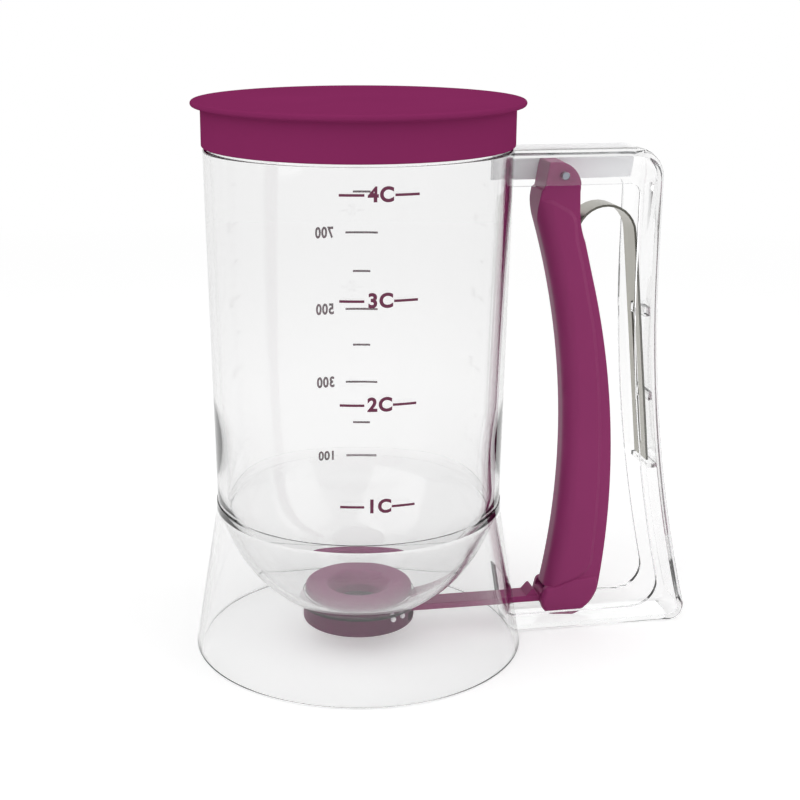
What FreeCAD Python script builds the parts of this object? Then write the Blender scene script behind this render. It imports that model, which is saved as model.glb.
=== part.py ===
import FreeCAD, Part
import math
import os

# Pancake batter dispenser: a clear measuring cup with a round bowl, a flared foot and a channel
# handle. Squeezing the lever in the handle draws a gate aside under the bowl, and batter runs out.
# Millimetres. The origin is the cup's axis at table level, +Z is up and +X points to the handle.

# Cup wall, neck and seam
SHOULDER_Z = 172.4
NECK_H = 13.6
CUP_TOP_Z = SHOULDER_Z + NECK_H
SEAM_Z = 53.0
SEAM_R = 48.6
CUP_TAPER = 2.0
SHOULDER_R = SEAM_R + CUP_TAPER
CUP_WALL = 2.4
NECK_STEP = 1.2
NECK_R = SHOULDER_R - NECK_STEP
RIM_ROUND = 0.4

# Valve stack, from the bowl's floor down to the cap's underside
FLOOR_Z = 14.3
FLOOR_T = 1.5
FLOOR_SEAT_Z = FLOOR_Z + FLOOR_T
CAP_DEPTH = 6.7
CAP_BOTTOM_Z = FLOOR_Z - CAP_DEPTH
CAP_PLATE = 1.6
CAP_FLOOR_Z = CAP_BOTTOM_Z + CAP_PLATE
GATE_UNDER_FIT = 0.2
GATE_BOTTOM_Z = CAP_FLOOR_Z + GATE_UNDER_FIT
GATE_T = 2.3
GATE_TOP_Z = GATE_BOTTOM_Z + GATE_T
ARM_PIN_Z = GATE_BOTTOM_Z + GATE_T / 2

# Seat ring, its gasket, and the gate with its soft disc
OUTLET_R = 8.5
SEAT_FLANGE_W = 10.5
SEAT_R = OUTLET_R + SEAT_FLANGE_W
SEAT_MOUTH_W = 2.5
SEAT_H = 4.0
SEAT_TOP_Z = FLOOR_SEAT_Z + SEAT_H
SEAT_ROUND = 0.8
SEAT_BARREL_WALL = 1.6
SEAT_POCKET_FIT = 0.2
GASKET_T = 0.9
GASKET_INSET = 0.8
GATE_FIT = 0.15
DISC_LAP = 1.7
DISC_R = OUTLET_R + DISC_LAP
DISC_T = 1.0
GATE_RIM = 1.4
GATE_R = DISC_R + GATE_RIM

# Bowl under the cup, a part of a sphere with a level floor
BOWL_SET_IN = 1.1
BOWL_R = SEAM_R - BOWL_SET_IN
BOWL_WALL = 2.2
BOWL_LIP_W = 0.9
BOWL_LEDGE_H = 2.5
BOWL_LEDGE_W = 0.5
FLOOR_RIM = 1.6
FLOOR_R = SEAT_R + SEAT_POCKET_FIT + FLOOR_RIM
FLOOR_EDGE_H = 1.0
BOND_GAP = 0.05

# Cap that carries the gate
CAP_SET_IN = 1.3
CAP_R = FLOOR_R - CAP_SET_IN
CAP_WALL = 1.6
CAP_TOP_FIT = 0.1
CAP_EDGE_ROUND = 0.7
SPIGOT_FIT = 0.1
SPIGOT_WALL = 1.5
SPIGOT_H = 3.1
SPIGOT_FOOT_Z = FLOOR_Z - SPIGOT_H
SLOT_TOP_FIT = 0.5
RAIL_W = 1.6
RAIL_FIT = 0.3
RAIL_BACK = 6.0
LIP_SEAL_W = 2.4
LIP_SEAL_T = 0.8
CAP_PEG_R = 0.9
CAP_PEG_PROUD = 0.7
CAP_PEG_DROP = 1.3
CAP_PEG_ANGLES = (-63.0, -50.0, 50.0, 63.0)

# Flared foot skirt
FOOT_R = 57.2
SKIRT_LIP = 0.3
SKIRT_TOP_R = SEAM_R + SKIRT_LIP
FLARE_TURN_H = 5.5
SKIRT_WALL = 2.0
FOOT_ROUND = 0.7
WINDOW_SIDE = 3.5
WINDOW_UNDER = 1.8
WINDOW_OVER = 10.3

# Lid over the neck
LID_FIT = 0.3
LID_WALL = 1.3
LID_LIFT_GAP = 0.9
LID_PLATE = 2.1
LID_FLANGE_W = 3.2
LID_FLANGE_T = 1.9
LID_EDGE_ROUND = 0.6

# Handle channel, open towards the cup, with the hinge in its top bar
HANDLE_DROP = 1.1
HANDLE_TOP_Z = SHOULDER_Z - HANDLE_DROP
HINGE_OUT = 17.1
HINGE_DROP = 8.6
HINGE_X = SHOULDER_R + HINGE_OUT
HINGE_Z = HANDLE_TOP_Z - HINGE_DROP
HANDLE_REACH = 34.5
HANDLE_SIDE_X = HINGE_X + HANDLE_REACH
HANDLE_W = 18.4
HANDLE_WALL = 1.6
HANDLE_WEB = 2.6
HANDLE_UPRIGHT_H = 36.3
HANDLE_LEAN_Z = HANDLE_TOP_Z - HANDLE_UPRIGHT_H
HANDLE_LEAN_R = 510.0
HANDLE_TOP_DEPTH = 11.7
HANDLE_SIDE_DEPTH = 8.4
HANDLE_FOOT_DEPTH = 7.0
HANDLE_TOP_ROUND = 10.0
HANDLE_FOOT_ROUND = 5.5
GRIP_TOP_ROUND = 3.5
GRIP_FOOT_ROUND = 9.0
HANDLE_EDGE_ROUND = 1.3
PIN_R = 1.25
PIN_PRESS = 0.01
PIN_FIT = 0.06
PIN_CHAMFER = 0.2

# Lever across the channel
LEVER_SIDE_FIT = 0.4
LEVER_W = HANDLE_W - 2 * HANDLE_WALL - 2 * LEVER_SIDE_FIT
LEVER_SKIN = 1.2
LEVER_FRONT_WALL = 3.2
LEVER_FRONT_ROUND = 3.0
LEVER_BACK_ROUND = 1.0
LEVER_HOLLOW_FOOT_Z = 24.0
LEVER_HOLLOW_DROP = 38.7
SPRING_PAD_DROP = 12.2
SPRING_PAD_GAP = 0.1
STRIP_TIP_ROOM = 2.0
FORK_FIT = 0.3
FORK_BACK_ROOM = 1.5
FORK_TOP_ROOM = 2.0
GROOVE_FIT = 0.2
SQUEEZE_DEG = 6.5

# Lever's side view: its head as (x, z) from the hinge, its foot as (x from the hinge, z from the arm's pin)
HEAD_BACK = ((6.2, -5.7), (4.2, 1.4), (-1.1, 4.3))
HEAD_FRONT = (-5.7, 4.3)
FRONT_NECK = ((-7.4, -6.2), (-7.9, -12.2), (-6.5, -19.5))
BACK_NECK = ((8.6, -22.7), (7.0, -17.5), (6.4, -12.2))
HAND_BOW_TOP = (11.7, -34.9)
HAND_BOW_X = 20.8
FINGER_BOW_X = 3.9
FINGER_BOW_FOOT = (-0.7, 6.35)
FOOT_FRONT = ((-2.2, -0.05), (-1.4, -3.55), (1.8, -5.35))
FOOT_BACK = ((8.8, -5.95), (15.3, -2.25), (18.7, 5.05))
HEAD_NOTCH_DROP = 4.7
HEAD_NOTCH_DEPTH = 0.8

# Arm of the gate
ARM_W = 8.0
ARM_PEAK_H = 4.6
ARM_PEAK_BACK = 7.9
ARM_PEAK_HALF = 2.4
ARM_EYE_R = 2.7
ARM_PIN_R = 1.2
ARM_PIN_OVERHANG = 1.6

# Leaf spring, one stainless strip
STRIP_SIDE_FIT = 1.9
STRIP_W = HANDLE_W - 2 * HANDLE_WALL - 2 * STRIP_SIDE_FIT
STRIP_T = 0.8
STRIP_BOW_R = 10.4
STRIP_BOW_OUT = 15.9
STRIP_BOW_DROP = 21.1
STRIP_BOW_X = HINGE_X + STRIP_BOW_OUT
STRIP_BOW_Z = HINGE_Z - STRIP_BOW_DROP
STRIP_SHORT_LEG = 11.6
STRIP_TIP_Z = STRIP_BOW_Z - STRIP_SHORT_LEG
STRIP_LONG_DROP = 80.1
STRIP_END_Z = STRIP_BOW_Z - STRIP_LONG_DROP
STRIP_END_ROOM = 2.6
STRIP_SLOT_W = 2.6
STRIP_SLOT_DROP = 23.6
STRIP_SLOT_END = 4.5

# Ribs of the channel that hold the strip
KEEPER_W = 2.0
KEEPER_T = 3.0
KEEPER_RISES = (22.5, 52.5)
KEEPER_GAP = 0.3
SHELF_T = 1.6

# Shaping allowances: how far a cut runs past the face it opens, and when two places count as one
OVERCUT = 1.0
SAME = 1e-6


def vec(x, y, z):
    """A point, in millimetres."""
    return FreeCAD.Vector(x, y, z)


def revolve(points):
    """A ring: the closed outline of (radius, height) points, turned round the cup's axis."""
    wire = Part.makePolygon([vec(r, 0, z) for r, z in points + [points[0]]])
    return Part.Face(wire).revolve(vec(0, 0, 0), vec(0, 0, 1), 360)


def revolve_edges(edges):
    """A ring from edges that already lie in the XZ plane."""
    wire = Part.Wire(Part.__sortEdges__(edges))
    return Part.Face(wire).revolve(vec(0, 0, 0), vec(0, 0, 1), 360)


def line(a, b):
    """A straight edge in the XZ plane, from one (x, z) point to another."""
    return Part.makeLine(vec(a[0], 0, a[1]), vec(b[0], 0, b[1]))


def arc(a, mid, b):
    """An arc in the XZ plane through three (x, z) points."""
    ends = [vec(p[0], 0, p[1]) for p in (a, mid, b)]
    return Part.Arc(*ends).toShape()


def turn(centre, radius, start, end):
    """An arc in the XZ plane about an (x, z) point, from one angle in degrees to another."""
    ends = []
    for angle in (start, (start + end) / 2, end):
        swing = math.radians(angle)
        ends.append((centre[0] + radius * math.cos(swing), centre[1] + radius * math.sin(swing)))
    return arc(*ends)


def in_side_plane(edge, y):
    """True for an edge that lies flat in the plane at y or at -y."""
    box = edge.BoundBox
    return box.YLength < SAME and abs(abs(box.YMin) - y) < SAME


def disc(radius, low, high):
    """An upright cylinder on the cup's axis."""
    return Part.makeCylinder(radius, high - low, vec(0, 0, low))


def tube(outer, inner, low, high):
    """An upright tube on the cup's axis."""
    return disc(outer, low, high).cut(disc(inner, low - OVERCUT, high + OVERCUT))


def block(x, y, z):
    """A box from three (low, high) pairs."""
    return Part.makeBox(x[1] - x[0], y[1] - y[0], z[1] - z[0], vec(x[0], y[0], z[0]))


def across(face, width):
    """A face in the XZ plane made a solid of this width, half on each side of the plane."""
    half = vec(0, width / 2, 0)
    moved = face.copy()
    moved.translate(-half)
    return moved.extrude(half * 2)


def cross_rod(x, z, radius, width):
    """A round rod along Y, centred on the XZ plane."""
    return Part.makeCylinder(radius, width, vec(x, -width / 2, z), vec(0, 1, 0))


def bowl_centre_z():
    """Height of the bowl's centre: its sphere meets the floor's rim a little above the underside."""
    return FLOOR_Z + FLOOR_EDGE_H + math.sqrt(BOWL_R ** 2 - FLOOR_R ** 2)


def sphere_z(radius, r):
    """Height of the bowl's sphere of this radius, r from the axis, on its lower half."""
    return bowl_centre_z() - math.sqrt(radius ** 2 - r ** 2)


def sphere_r(radius, z):
    """Distance from the axis of the bowl's sphere of this radius, at a height."""
    return math.sqrt(radius ** 2 - (bowl_centre_z() - z) ** 2)


def sphere_arc(radius, z_low, z_high):
    """An arc of the bowl's sphere between two heights."""
    z_mid = (z_low + z_high) / 2
    ends = [(sphere_r(radius, z), z) for z in (z_low, z_mid, z_high)]
    return arc(*ends)


def cup_r(z):
    """Outer radius of the tapered cup wall at a height."""
    return SEAM_R + (SHOULDER_R - SEAM_R) * (z - SEAM_Z) / (SHOULDER_Z - SEAM_Z)


def cup_bore_r(z):
    """Inner radius of the tapered cup wall at a height."""
    return cup_r(z) - CUP_WALL


def ledge_r():
    """Radius of the bowl's ledge, which the skirt's rebate takes."""
    return sphere_r(BOWL_R, SEAM_Z - BOWL_LEDGE_H) + BOWL_LEDGE_W


def make_cup_body():
    """The clear cup wall: a slight taper up to the shoulder, then the neck that the lid covers."""
    inner = cup_bore_r(SHOULDER_Z)
    outline = [
        (SEAM_R, SEAM_Z),
        (SHOULDER_R, SHOULDER_Z),
        (NECK_R, SHOULDER_Z),
        (NECK_R, CUP_TOP_Z - RIM_ROUND),
        (NECK_R - RIM_ROUND, CUP_TOP_Z),
        (inner + RIM_ROUND, CUP_TOP_Z),
        (inner, CUP_TOP_Z - RIM_ROUND),
        (inner, SHOULDER_Z),
        (cup_bore_r(SEAM_Z), SEAM_Z),
    ]
    return revolve(outline)


def make_bowl_funnel():
    """The clear bowl: a thick rim bonded into the cup, a round wall, a level floor and a spigot."""
    inner_r = BOWL_R - BOWL_WALL
    lip_z = bowl_centre_z() + BOWL_LIP_W
    lip_r = cup_bore_r(lip_z) - BOND_GAP
    rim_r = cup_bore_r(SEAM_Z) - BOND_GAP
    ledge_z = SEAM_Z - BOWL_LEDGE_H
    pocket_r = SEAT_R + SEAT_POCKET_FIT
    floor_edge_z = sphere_z(BOWL_R, FLOOR_R)
    barrel_r = OUTLET_R + SEAT_BARREL_WALL + SEAT_POCKET_FIT
    edges = [
        sphere_arc(inner_r, sphere_z(inner_r, pocket_r), bowl_centre_z()),
        line((inner_r, bowl_centre_z()), (lip_r, lip_z)),
        line((lip_r, lip_z), (rim_r, SEAM_Z)),
        line((rim_r, SEAM_Z), (ledge_r(), SEAM_Z)),
        line((ledge_r(), SEAM_Z), (ledge_r(), ledge_z)),
        line((ledge_r(), ledge_z), (sphere_r(BOWL_R, ledge_z), ledge_z)),
        sphere_arc(BOWL_R, floor_edge_z, ledge_z),
        line((FLOOR_R, floor_edge_z), (FLOOR_R, FLOOR_Z)),
        line((FLOOR_R, FLOOR_Z), (barrel_r, FLOOR_Z)),
        line((barrel_r, FLOOR_Z), (barrel_r, FLOOR_SEAT_Z)),
        line((barrel_r, FLOOR_SEAT_Z), (pocket_r, FLOOR_SEAT_Z)),
        line((pocket_r, FLOOR_SEAT_Z), (pocket_r, sphere_z(inner_r, pocket_r))),
    ]
    bowl = revolve_edges(edges)
    spigot_r = CAP_R - CAP_WALL - SPIGOT_FIT
    spigot = tube(spigot_r, spigot_r - SPIGOT_WALL, SPIGOT_FOOT_Z, FLOOR_Z)
    return bowl.fuse(spigot.cut(gate_slot())).cut(cap_peg_holes()).removeSplitter()


def skirt_edges(inset):
    """Four points of the skirt's wall, moved in by a distance: a cone that turns upright at the seam."""
    slope = (FOOT_R - SKIRT_TOP_R) / (SEAM_Z - FLARE_TURN_H / 2)
    turn = slope * FLARE_TURN_H / 2
    foot = (FOOT_R - inset, 0.0)
    bend = (SKIRT_TOP_R - inset + turn, SEAM_Z - FLARE_TURN_H)
    mid = (SKIRT_TOP_R - inset + turn / 4, SEAM_Z - FLARE_TURN_H / 2)
    top = (SKIRT_TOP_R - inset, SEAM_Z)
    return foot, bend, mid, top


def make_base_skirt():
    """The clear flared foot: bonded under the cup, rebated for the bowl, with a window for the arm."""
    foot, bend, mid, top = skirt_edges(0.0)
    foot_in, bend_in, mid_in, top_in = skirt_edges(SKIRT_WALL)
    foot_edge = (foot[0] + (bend[0] - foot[0]) * FOOT_ROUND / bend[1], FOOT_ROUND)
    edges = [
        line((foot[0] - FOOT_ROUND, 0.0), (foot_in[0], 0.0)),
        line((foot_in[0], 0.0), bend_in),
        arc(bend_in, mid_in, top_in),
        line(top_in, top),
        arc(top, mid, bend),
        line(bend, foot_edge),
        line(foot_edge, (foot[0] - FOOT_ROUND, 0.0)),
    ]
    skirt = revolve_edges(edges)
    rebate = disc(ledge_r() + BOND_GAP, SEAM_Z - BOWL_LEDGE_H, SEAM_Z + OVERCUT)
    half = ARM_W / 2 + WINDOW_SIDE
    window_z = (GATE_BOTTOM_Z - WINDOW_UNDER, GATE_TOP_Z + WINDOW_OVER)
    window = block((0.0, FOOT_R + OVERCUT), (-half, half), window_z)
    return skirt.cut(rebate).cut(window)


def cup_envelope():
    """The outside of the cup and skirt as one closed solid, which the handle is shaped to."""
    foot, bend, mid, top = skirt_edges(0.0)
    edges = [
        line((0.0, -OVERCUT), (foot[0], -OVERCUT)),
        line((foot[0], -OVERCUT), foot),
        line(foot, bend),
        arc(bend, mid, top),
        line(top, (SEAM_R, SEAM_Z)),
        line((SEAM_R, SEAM_Z), (SHOULDER_R, SHOULDER_Z)),
        line((SHOULDER_R, SHOULDER_Z), (0.0, SHOULDER_Z)),
        line((0.0, SHOULDER_Z), (0.0, -OVERCUT)),
    ]
    return revolve_edges(edges)


def handle_region(top, side, foot, top_round, foot_round):
    """The face inside the handle's outer line, moved in by a depth at its top, side and foot."""
    lean_x = HANDLE_SIDE_X + HANDLE_LEAN_R
    lean_r = HANDLE_LEAN_R + side
    side_x = HANDLE_SIDE_X - side
    top_z = HANDLE_TOP_Z - top
    turn_z = foot + foot_round
    turn_x = lean_x - math.sqrt((lean_r + foot_round) ** 2 - (HANDLE_LEAN_Z - turn_z) ** 2)
    meet = math.degrees(math.atan2(HANDLE_LEAN_Z - turn_z, lean_x - turn_x))
    corner = (side_x - top_round, top_z - top_round)
    edges = [
        line((0.0, foot), (turn_x, foot)),
        turn((turn_x, turn_z), foot_round, -90.0, meet),
        turn((lean_x, HANDLE_LEAN_Z), lean_r, 180.0 + meet, 180.0),
        line((side_x, HANDLE_LEAN_Z), (side_x, corner[1])),
        turn(corner, top_round, 0.0, 90.0),
        line((corner[0], top_z), (0.0, top_z)),
        line((0.0, top_z), (0.0, foot)),
    ]
    return Part.Face(Part.Wire(edges))


def strip_end_x():
    """Middle of the spring's free end, which stands clear of the handle's web."""
    return web_x(STRIP_END_Z) - STRIP_END_ROOM


def strip_leaves_bow():
    """Where the spring's long leg leaves its bow, as an angle at the bow's centre."""
    reach_x = strip_end_x() - STRIP_BOW_X
    drop = STRIP_BOW_Z - STRIP_END_Z
    return math.acos(STRIP_BOW_R / math.hypot(reach_x, drop)) - math.atan2(drop, reach_x)


def bow_point(angle, radius):
    """A point of the spring's bow at an angle and a radius about its centre."""
    return STRIP_BOW_X + radius * math.cos(angle), STRIP_BOW_Z + radius * math.sin(angle)


def strip_line_x(z):
    """Middle of the spring's long leg at a height."""
    top_x, top_z = bow_point(strip_leaves_bow(), STRIP_BOW_R)
    return top_x + (strip_end_x() - top_x) * (top_z - z) / (top_z - STRIP_END_Z)


def web_x(z):
    """Inner face of the handle's web at a height below the straight part."""
    lean_x = HANDLE_SIDE_X + HANDLE_LEAN_R
    reach = HANDLE_LEAN_R + HANDLE_WEB
    return lean_x - math.sqrt(reach ** 2 - (HANDLE_LEAN_Z - z) ** 2)


def make_handle_frame():
    """The clear handle: a channel from the neck round to the foot, with the spring's keepers."""
    web = HANDLE_WEB
    blank = across(handle_region(0.0, 0.0, 0.0, HANDLE_TOP_ROUND, HANDLE_FOOT_ROUND), HANDLE_W)
    depths = (HANDLE_TOP_DEPTH, HANDLE_SIDE_DEPTH, HANDLE_FOOT_DEPTH)
    grip = handle_region(*depths, GRIP_TOP_ROUND, GRIP_FOOT_ROUND)
    channel = handle_region(web, web, web, HANDLE_TOP_ROUND - web, HANDLE_FOOT_ROUND - web)
    outer = [e for e in blank.Edges if in_side_plane(e, HANDLE_W / 2) and e.BoundBox.XMax > SAME]
    frame = blank.makeFillet(HANDLE_EDGE_ROUND, outer)
    frame = frame.cut(across(grip, HANDLE_W + 2 * OVERCUT))
    frame = frame.cut(across(channel, HANDLE_W - 2 * HANDLE_WALL))
    frame = frame.cut(cup_envelope())
    frame = frame.cut(cross_rod(HINGE_X, HINGE_Z, PIN_R + PIN_PRESS, HANDLE_W))
    half = HANDLE_W / 2 - HANDLE_WALL / 2
    for rise in KEEPER_RISES:
        z = STRIP_END_Z + rise
        low_x = strip_line_x(z) + STRIP_T / 2 + KEEPER_GAP
        span_z = (z, z + KEEPER_T)
        frame = frame.fuse(block((low_x, web_x(z) + web / 2), (-half, half), span_z))
        tongue_x = (low_x - 2 * KEEPER_GAP - STRIP_T, web_x(z))
        frame = frame.fuse(block(tongue_x, (-KEEPER_W / 2, KEEPER_W / 2), span_z))
    shelf_x = (strip_end_x() - STRIP_T, web_x(STRIP_END_Z) + web / 2)
    shelf_z = STRIP_END_Z - STRIP_T / 2 - KEEPER_GAP
    return frame.fuse(block(shelf_x, (-half, half), (shelf_z - SHELF_T, shelf_z))).removeSplitter()


def from_hinge(place):
    """An (x, z) place from the hinge, as a point of the model."""
    return HINGE_X + place[0], HINGE_Z + place[1]


def from_arm(place):
    """A place given from the hinge in x and from the arm's pin in z, as a point of the model."""
    return HINGE_X + place[0], ARM_PIN_Z + place[1]


def bow(top, reach, foot):
    """Three points of a bowed side: its top, its middle at this distance from the hinge, and its foot."""
    return top, (HINGE_X + reach, (top[1] + foot[1]) / 2), foot


def finger_bow():
    """The side that the fingers pull, from the neck down to the foot."""
    return bow(from_hinge(FRONT_NECK[-1]), FINGER_BOW_X, from_arm(FINGER_BOW_FOOT))


def lever_outline():
    """The lever's side view: a bowed grip between a rounded foot and a rounded head."""
    foot_front = [from_arm(place) for place in FOOT_FRONT]
    foot_back = [from_arm(place) for place in FOOT_BACK]
    back_neck = [from_hinge(place) for place in BACK_NECK]
    head_back = [from_hinge(place) for place in HEAD_BACK]
    front_neck = [from_hinge(place) for place in FRONT_NECK]
    head_front = from_hinge(HEAD_FRONT)
    hand_bow = bow(from_hinge(HAND_BOW_TOP), HAND_BOW_X, foot_back[-1])
    return [
        arc(*finger_bow()),
        line(finger_bow()[-1], foot_front[0]),
        arc(*foot_front),
        line(foot_front[-1], foot_back[0]),
        arc(*foot_back),
        arc(*hand_bow[::-1]),
        line(hand_bow[0], back_neck[0]),
        arc(*back_neck),
        line(back_neck[-1], head_back[0]),
        arc(*head_back),
        line(head_back[-1], head_front),
        line(head_front, front_neck[0]),
        arc(*front_neck),
    ]


def arm_pin_drop():
    """How far the pivot pin moves along the lever when the lever is squeezed home."""
    swing = math.radians(SQUEEZE_DEG)
    return (HINGE_Z - ARM_PIN_Z) * (math.hypot(1.0, swing) - 1.0)


def lever_hollow():
    """The long pocket behind the lever's finger side, open to the handle."""
    top, mid, foot = [(x + LEVER_FRONT_WALL, z) for x, z in finger_bow()]
    open_x = HANDLE_SIDE_X
    edges = [
        arc(top, mid, foot),
        line(foot, (open_x, foot[1])),
        line((open_x, foot[1]), (open_x, top[1])),
        line((open_x, top[1]), top),
    ]
    width = LEVER_W - 2 * LEVER_SKIN
    side_view = across(Part.Face(Part.Wire(edges)), width)
    reach = block((0.0, open_x), (-width, width), (LEVER_HOLLOW_FOOT_Z, HINGE_Z - LEVER_HOLLOW_DROP))
    return side_view.common(reach)


def head_notch():
    """The shallow step across the front of the lever's head."""
    neck_x = from_hinge(FRONT_NECK[0])[0]
    head_x, head_z = from_hinge(HEAD_FRONT)
    notch_z = HINGE_Z - HEAD_NOTCH_DROP
    outline = [
        vec(neck_x + HEAD_NOTCH_DEPTH, 0, notch_z),
        vec(head_x + HEAD_NOTCH_DEPTH, 0, head_z + OVERCUT),
        vec(neck_x - OVERCUT, 0, head_z + OVERCUT),
        vec(neck_x - OVERCUT, 0, notch_z),
    ]
    return across(Part.Face(Part.makePolygon(outline + outline[:1])), LEVER_W + 2 * OVERCUT)


def lever_groove():
    """The slotted hole in the lever's foot that the arm's pin rides in."""
    width = ARM_W + 2 * ARM_PIN_OVERHANG + 2 * FORK_FIT
    radius = ARM_PIN_R + GROOVE_FIT
    low = ARM_PIN_Z - arm_pin_drop() - GROOVE_FIT
    groove = block((HINGE_X - radius, HINGE_X + radius), (-width / 2, width / 2), (low, ARM_PIN_Z))
    return groove.fuse([cross_rod(HINGE_X, z, radius, width) for z in (low, ARM_PIN_Z)])


def make_trigger_lever():
    """The squeezed lever: hollow at the back, forked at the foot for the gate's arm."""
    half = LEVER_W / 2
    lever = across(Part.Face(Part.Wire(lever_outline())), LEVER_W)
    front = [e for e in lever.Edges if in_side_plane(e, half) and is_front_edge(e)]
    lever = lever.makeFillet(LEVER_FRONT_ROUND, front)
    back = [e for e in lever.Edges if in_side_plane(e, half) and e.BoundBox.XMin > HINGE_X + SAME]
    lever = lever.makeFillet(LEVER_BACK_ROUND, back).cut(head_notch())
    inside = half - LEVER_SKIN
    pad_x = STRIP_BOW_X - STRIP_BOW_R - STRIP_T / 2 - SPRING_PAD_GAP
    pad_z = (STRIP_TIP_Z - STRIP_TIP_ROOM, HINGE_Z - SPRING_PAD_DROP)
    recess = block((pad_x, HANDLE_SIDE_X), (-inside, inside), pad_z)
    bore = cross_rod(HINGE_X, HINGE_Z, PIN_R + PIN_FIT, LEVER_W)
    fork_half = ARM_W / 2 + FORK_FIT
    fork_x = (0.0, HINGE_X + ARM_EYE_R + FORK_BACK_ROOM)
    fork = block(fork_x, (-fork_half, fork_half), (0.0, ARM_PIN_Z + ARM_EYE_R + FORK_TOP_ROOM))
    return lever.cut([lever_hollow(), recess, bore, fork, lever_groove()])


def is_front_edge(edge):
    """True for the edges of the lever's finger side, below the head."""
    box = edge.BoundBox
    return box.XMin < HINGE_X and box.ZMax < HINGE_Z + FRONT_NECK[0][1] + SAME


def make_hinge_pin():
    """The steel pin across the top of the channel."""
    pin = cross_rod(HINGE_X, HINGE_Z, PIN_R, HANDLE_W)
    return pin.makeChamfer(PIN_CHAMFER, [e for e in pin.Edges if in_side_plane(e, HANDLE_W / 2)])


def make_leaf_spring():
    """One bent strip: a short leg in the lever, a bow, and a long slotted leg in the channel."""
    leave = strip_leaves_bow()
    top = math.pi / 2
    half = STRIP_T / 2
    outer = STRIP_BOW_R + half
    inner = STRIP_BOW_R - half
    tip_x = STRIP_BOW_X - STRIP_BOW_R
    normal = (half * math.cos(leave), half * math.sin(leave))
    end_out = (strip_end_x() + normal[0], STRIP_END_Z + normal[1])
    end_in = (strip_end_x() - normal[0], STRIP_END_Z - normal[1])
    edges = [
        line((tip_x - half, STRIP_TIP_Z), (tip_x - half, STRIP_BOW_Z)),
        arc((tip_x - half, STRIP_BOW_Z), bow_point(top, outer), bow_point(leave, outer)),
        line(bow_point(leave, outer), end_out),
        line(end_out, end_in),
        line(end_in, bow_point(leave, inner)),
        arc(bow_point(leave, inner), bow_point(top, inner), (tip_x + half, STRIP_BOW_Z)),
        line((tip_x + half, STRIP_BOW_Z), (tip_x + half, STRIP_TIP_Z)),
        line((tip_x + half, STRIP_TIP_Z), (tip_x - half, STRIP_TIP_Z)),
    ]
    strip = across(Part.Face(Part.Wire(edges)), STRIP_W)
    low = STRIP_END_Z + STRIP_SLOT_END + STRIP_SLOT_W / 2
    high = STRIP_BOW_Z - STRIP_SLOT_DROP - STRIP_SLOT_W / 2
    reach = HANDLE_SIDE_X - STRIP_BOW_X
    slot = block((STRIP_BOW_X, HANDLE_SIDE_X), (-STRIP_SLOT_W / 2, STRIP_SLOT_W / 2), (low, high))
    for z in (low, high):
        slot = slot.fuse(Part.makeCylinder(STRIP_SLOT_W / 2, reach, vec(STRIP_BOW_X, 0, z), vec(1, 0, 0)))
    return strip.cut(slot)


def make_lid():
    """The push-on lid: a flat plate with a thin flange, and a skirt round the neck."""
    inner = NECK_R + LID_FIT
    outer = inner + LID_WALL
    low = SHOULDER_Z + LID_LIFT_GAP
    top = CUP_TOP_Z + LID_PLATE
    flange_r = outer + LID_FLANGE_W
    flange_low = top - LID_FLANGE_T
    half = LID_FLANGE_T / 2
    edges = [
        line((0.0, CUP_TOP_Z), (inner, CUP_TOP_Z)),
        line((inner, CUP_TOP_Z), (inner, low)),
        line((inner, low), (outer - LID_EDGE_ROUND, low)),
        turn((outer - LID_EDGE_ROUND, low + LID_EDGE_ROUND), LID_EDGE_ROUND, -90.0, 0.0),
        line((outer, low + LID_EDGE_ROUND), (outer, flange_low)),
        line((outer, flange_low), (flange_r - half, flange_low)),
        turn((flange_r - half, flange_low + half), half, -90.0, 90.0),
        line((flange_r - half, top), (0.0, top)),
        line((0.0, top), (0.0, CUP_TOP_Z)),
    ]
    return revolve_edges(edges)


def gate_slot():
    """The opening on the handle side of the cap and spigot, which the gate slides out through."""
    half = GATE_R + RAIL_FIT
    return block((0.0, CAP_R + OVERCUT), (-half, half), (CAP_FLOOR_Z, GATE_TOP_Z + SLOT_TOP_FIT))


def cap_peg(angle, radius):
    """One radial peg through the cap's wall."""
    turn = math.radians(angle)
    along = vec(math.cos(turn), math.sin(turn), 0)
    start = CAP_R - CAP_WALL - SPIGOT_FIT - SPIGOT_WALL
    length = CAP_R + CAP_PEG_PROUD - start
    return Part.makeCylinder(radius, length, along * start + vec(0, 0, FLOOR_Z - CAP_PEG_DROP), along)


def cap_peg_holes():
    """The holes for the pegs, as one tool."""
    return Part.makeCompound([cap_peg(angle, CAP_PEG_R + BOND_GAP) for angle in CAP_PEG_ANGLES])


def make_cap_pegs():
    """The clear pegs that hold the cap on the bowl's spigot."""
    return Part.makeCompound([cap_peg(angle, CAP_PEG_R) for angle in CAP_PEG_ANGLES])


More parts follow.
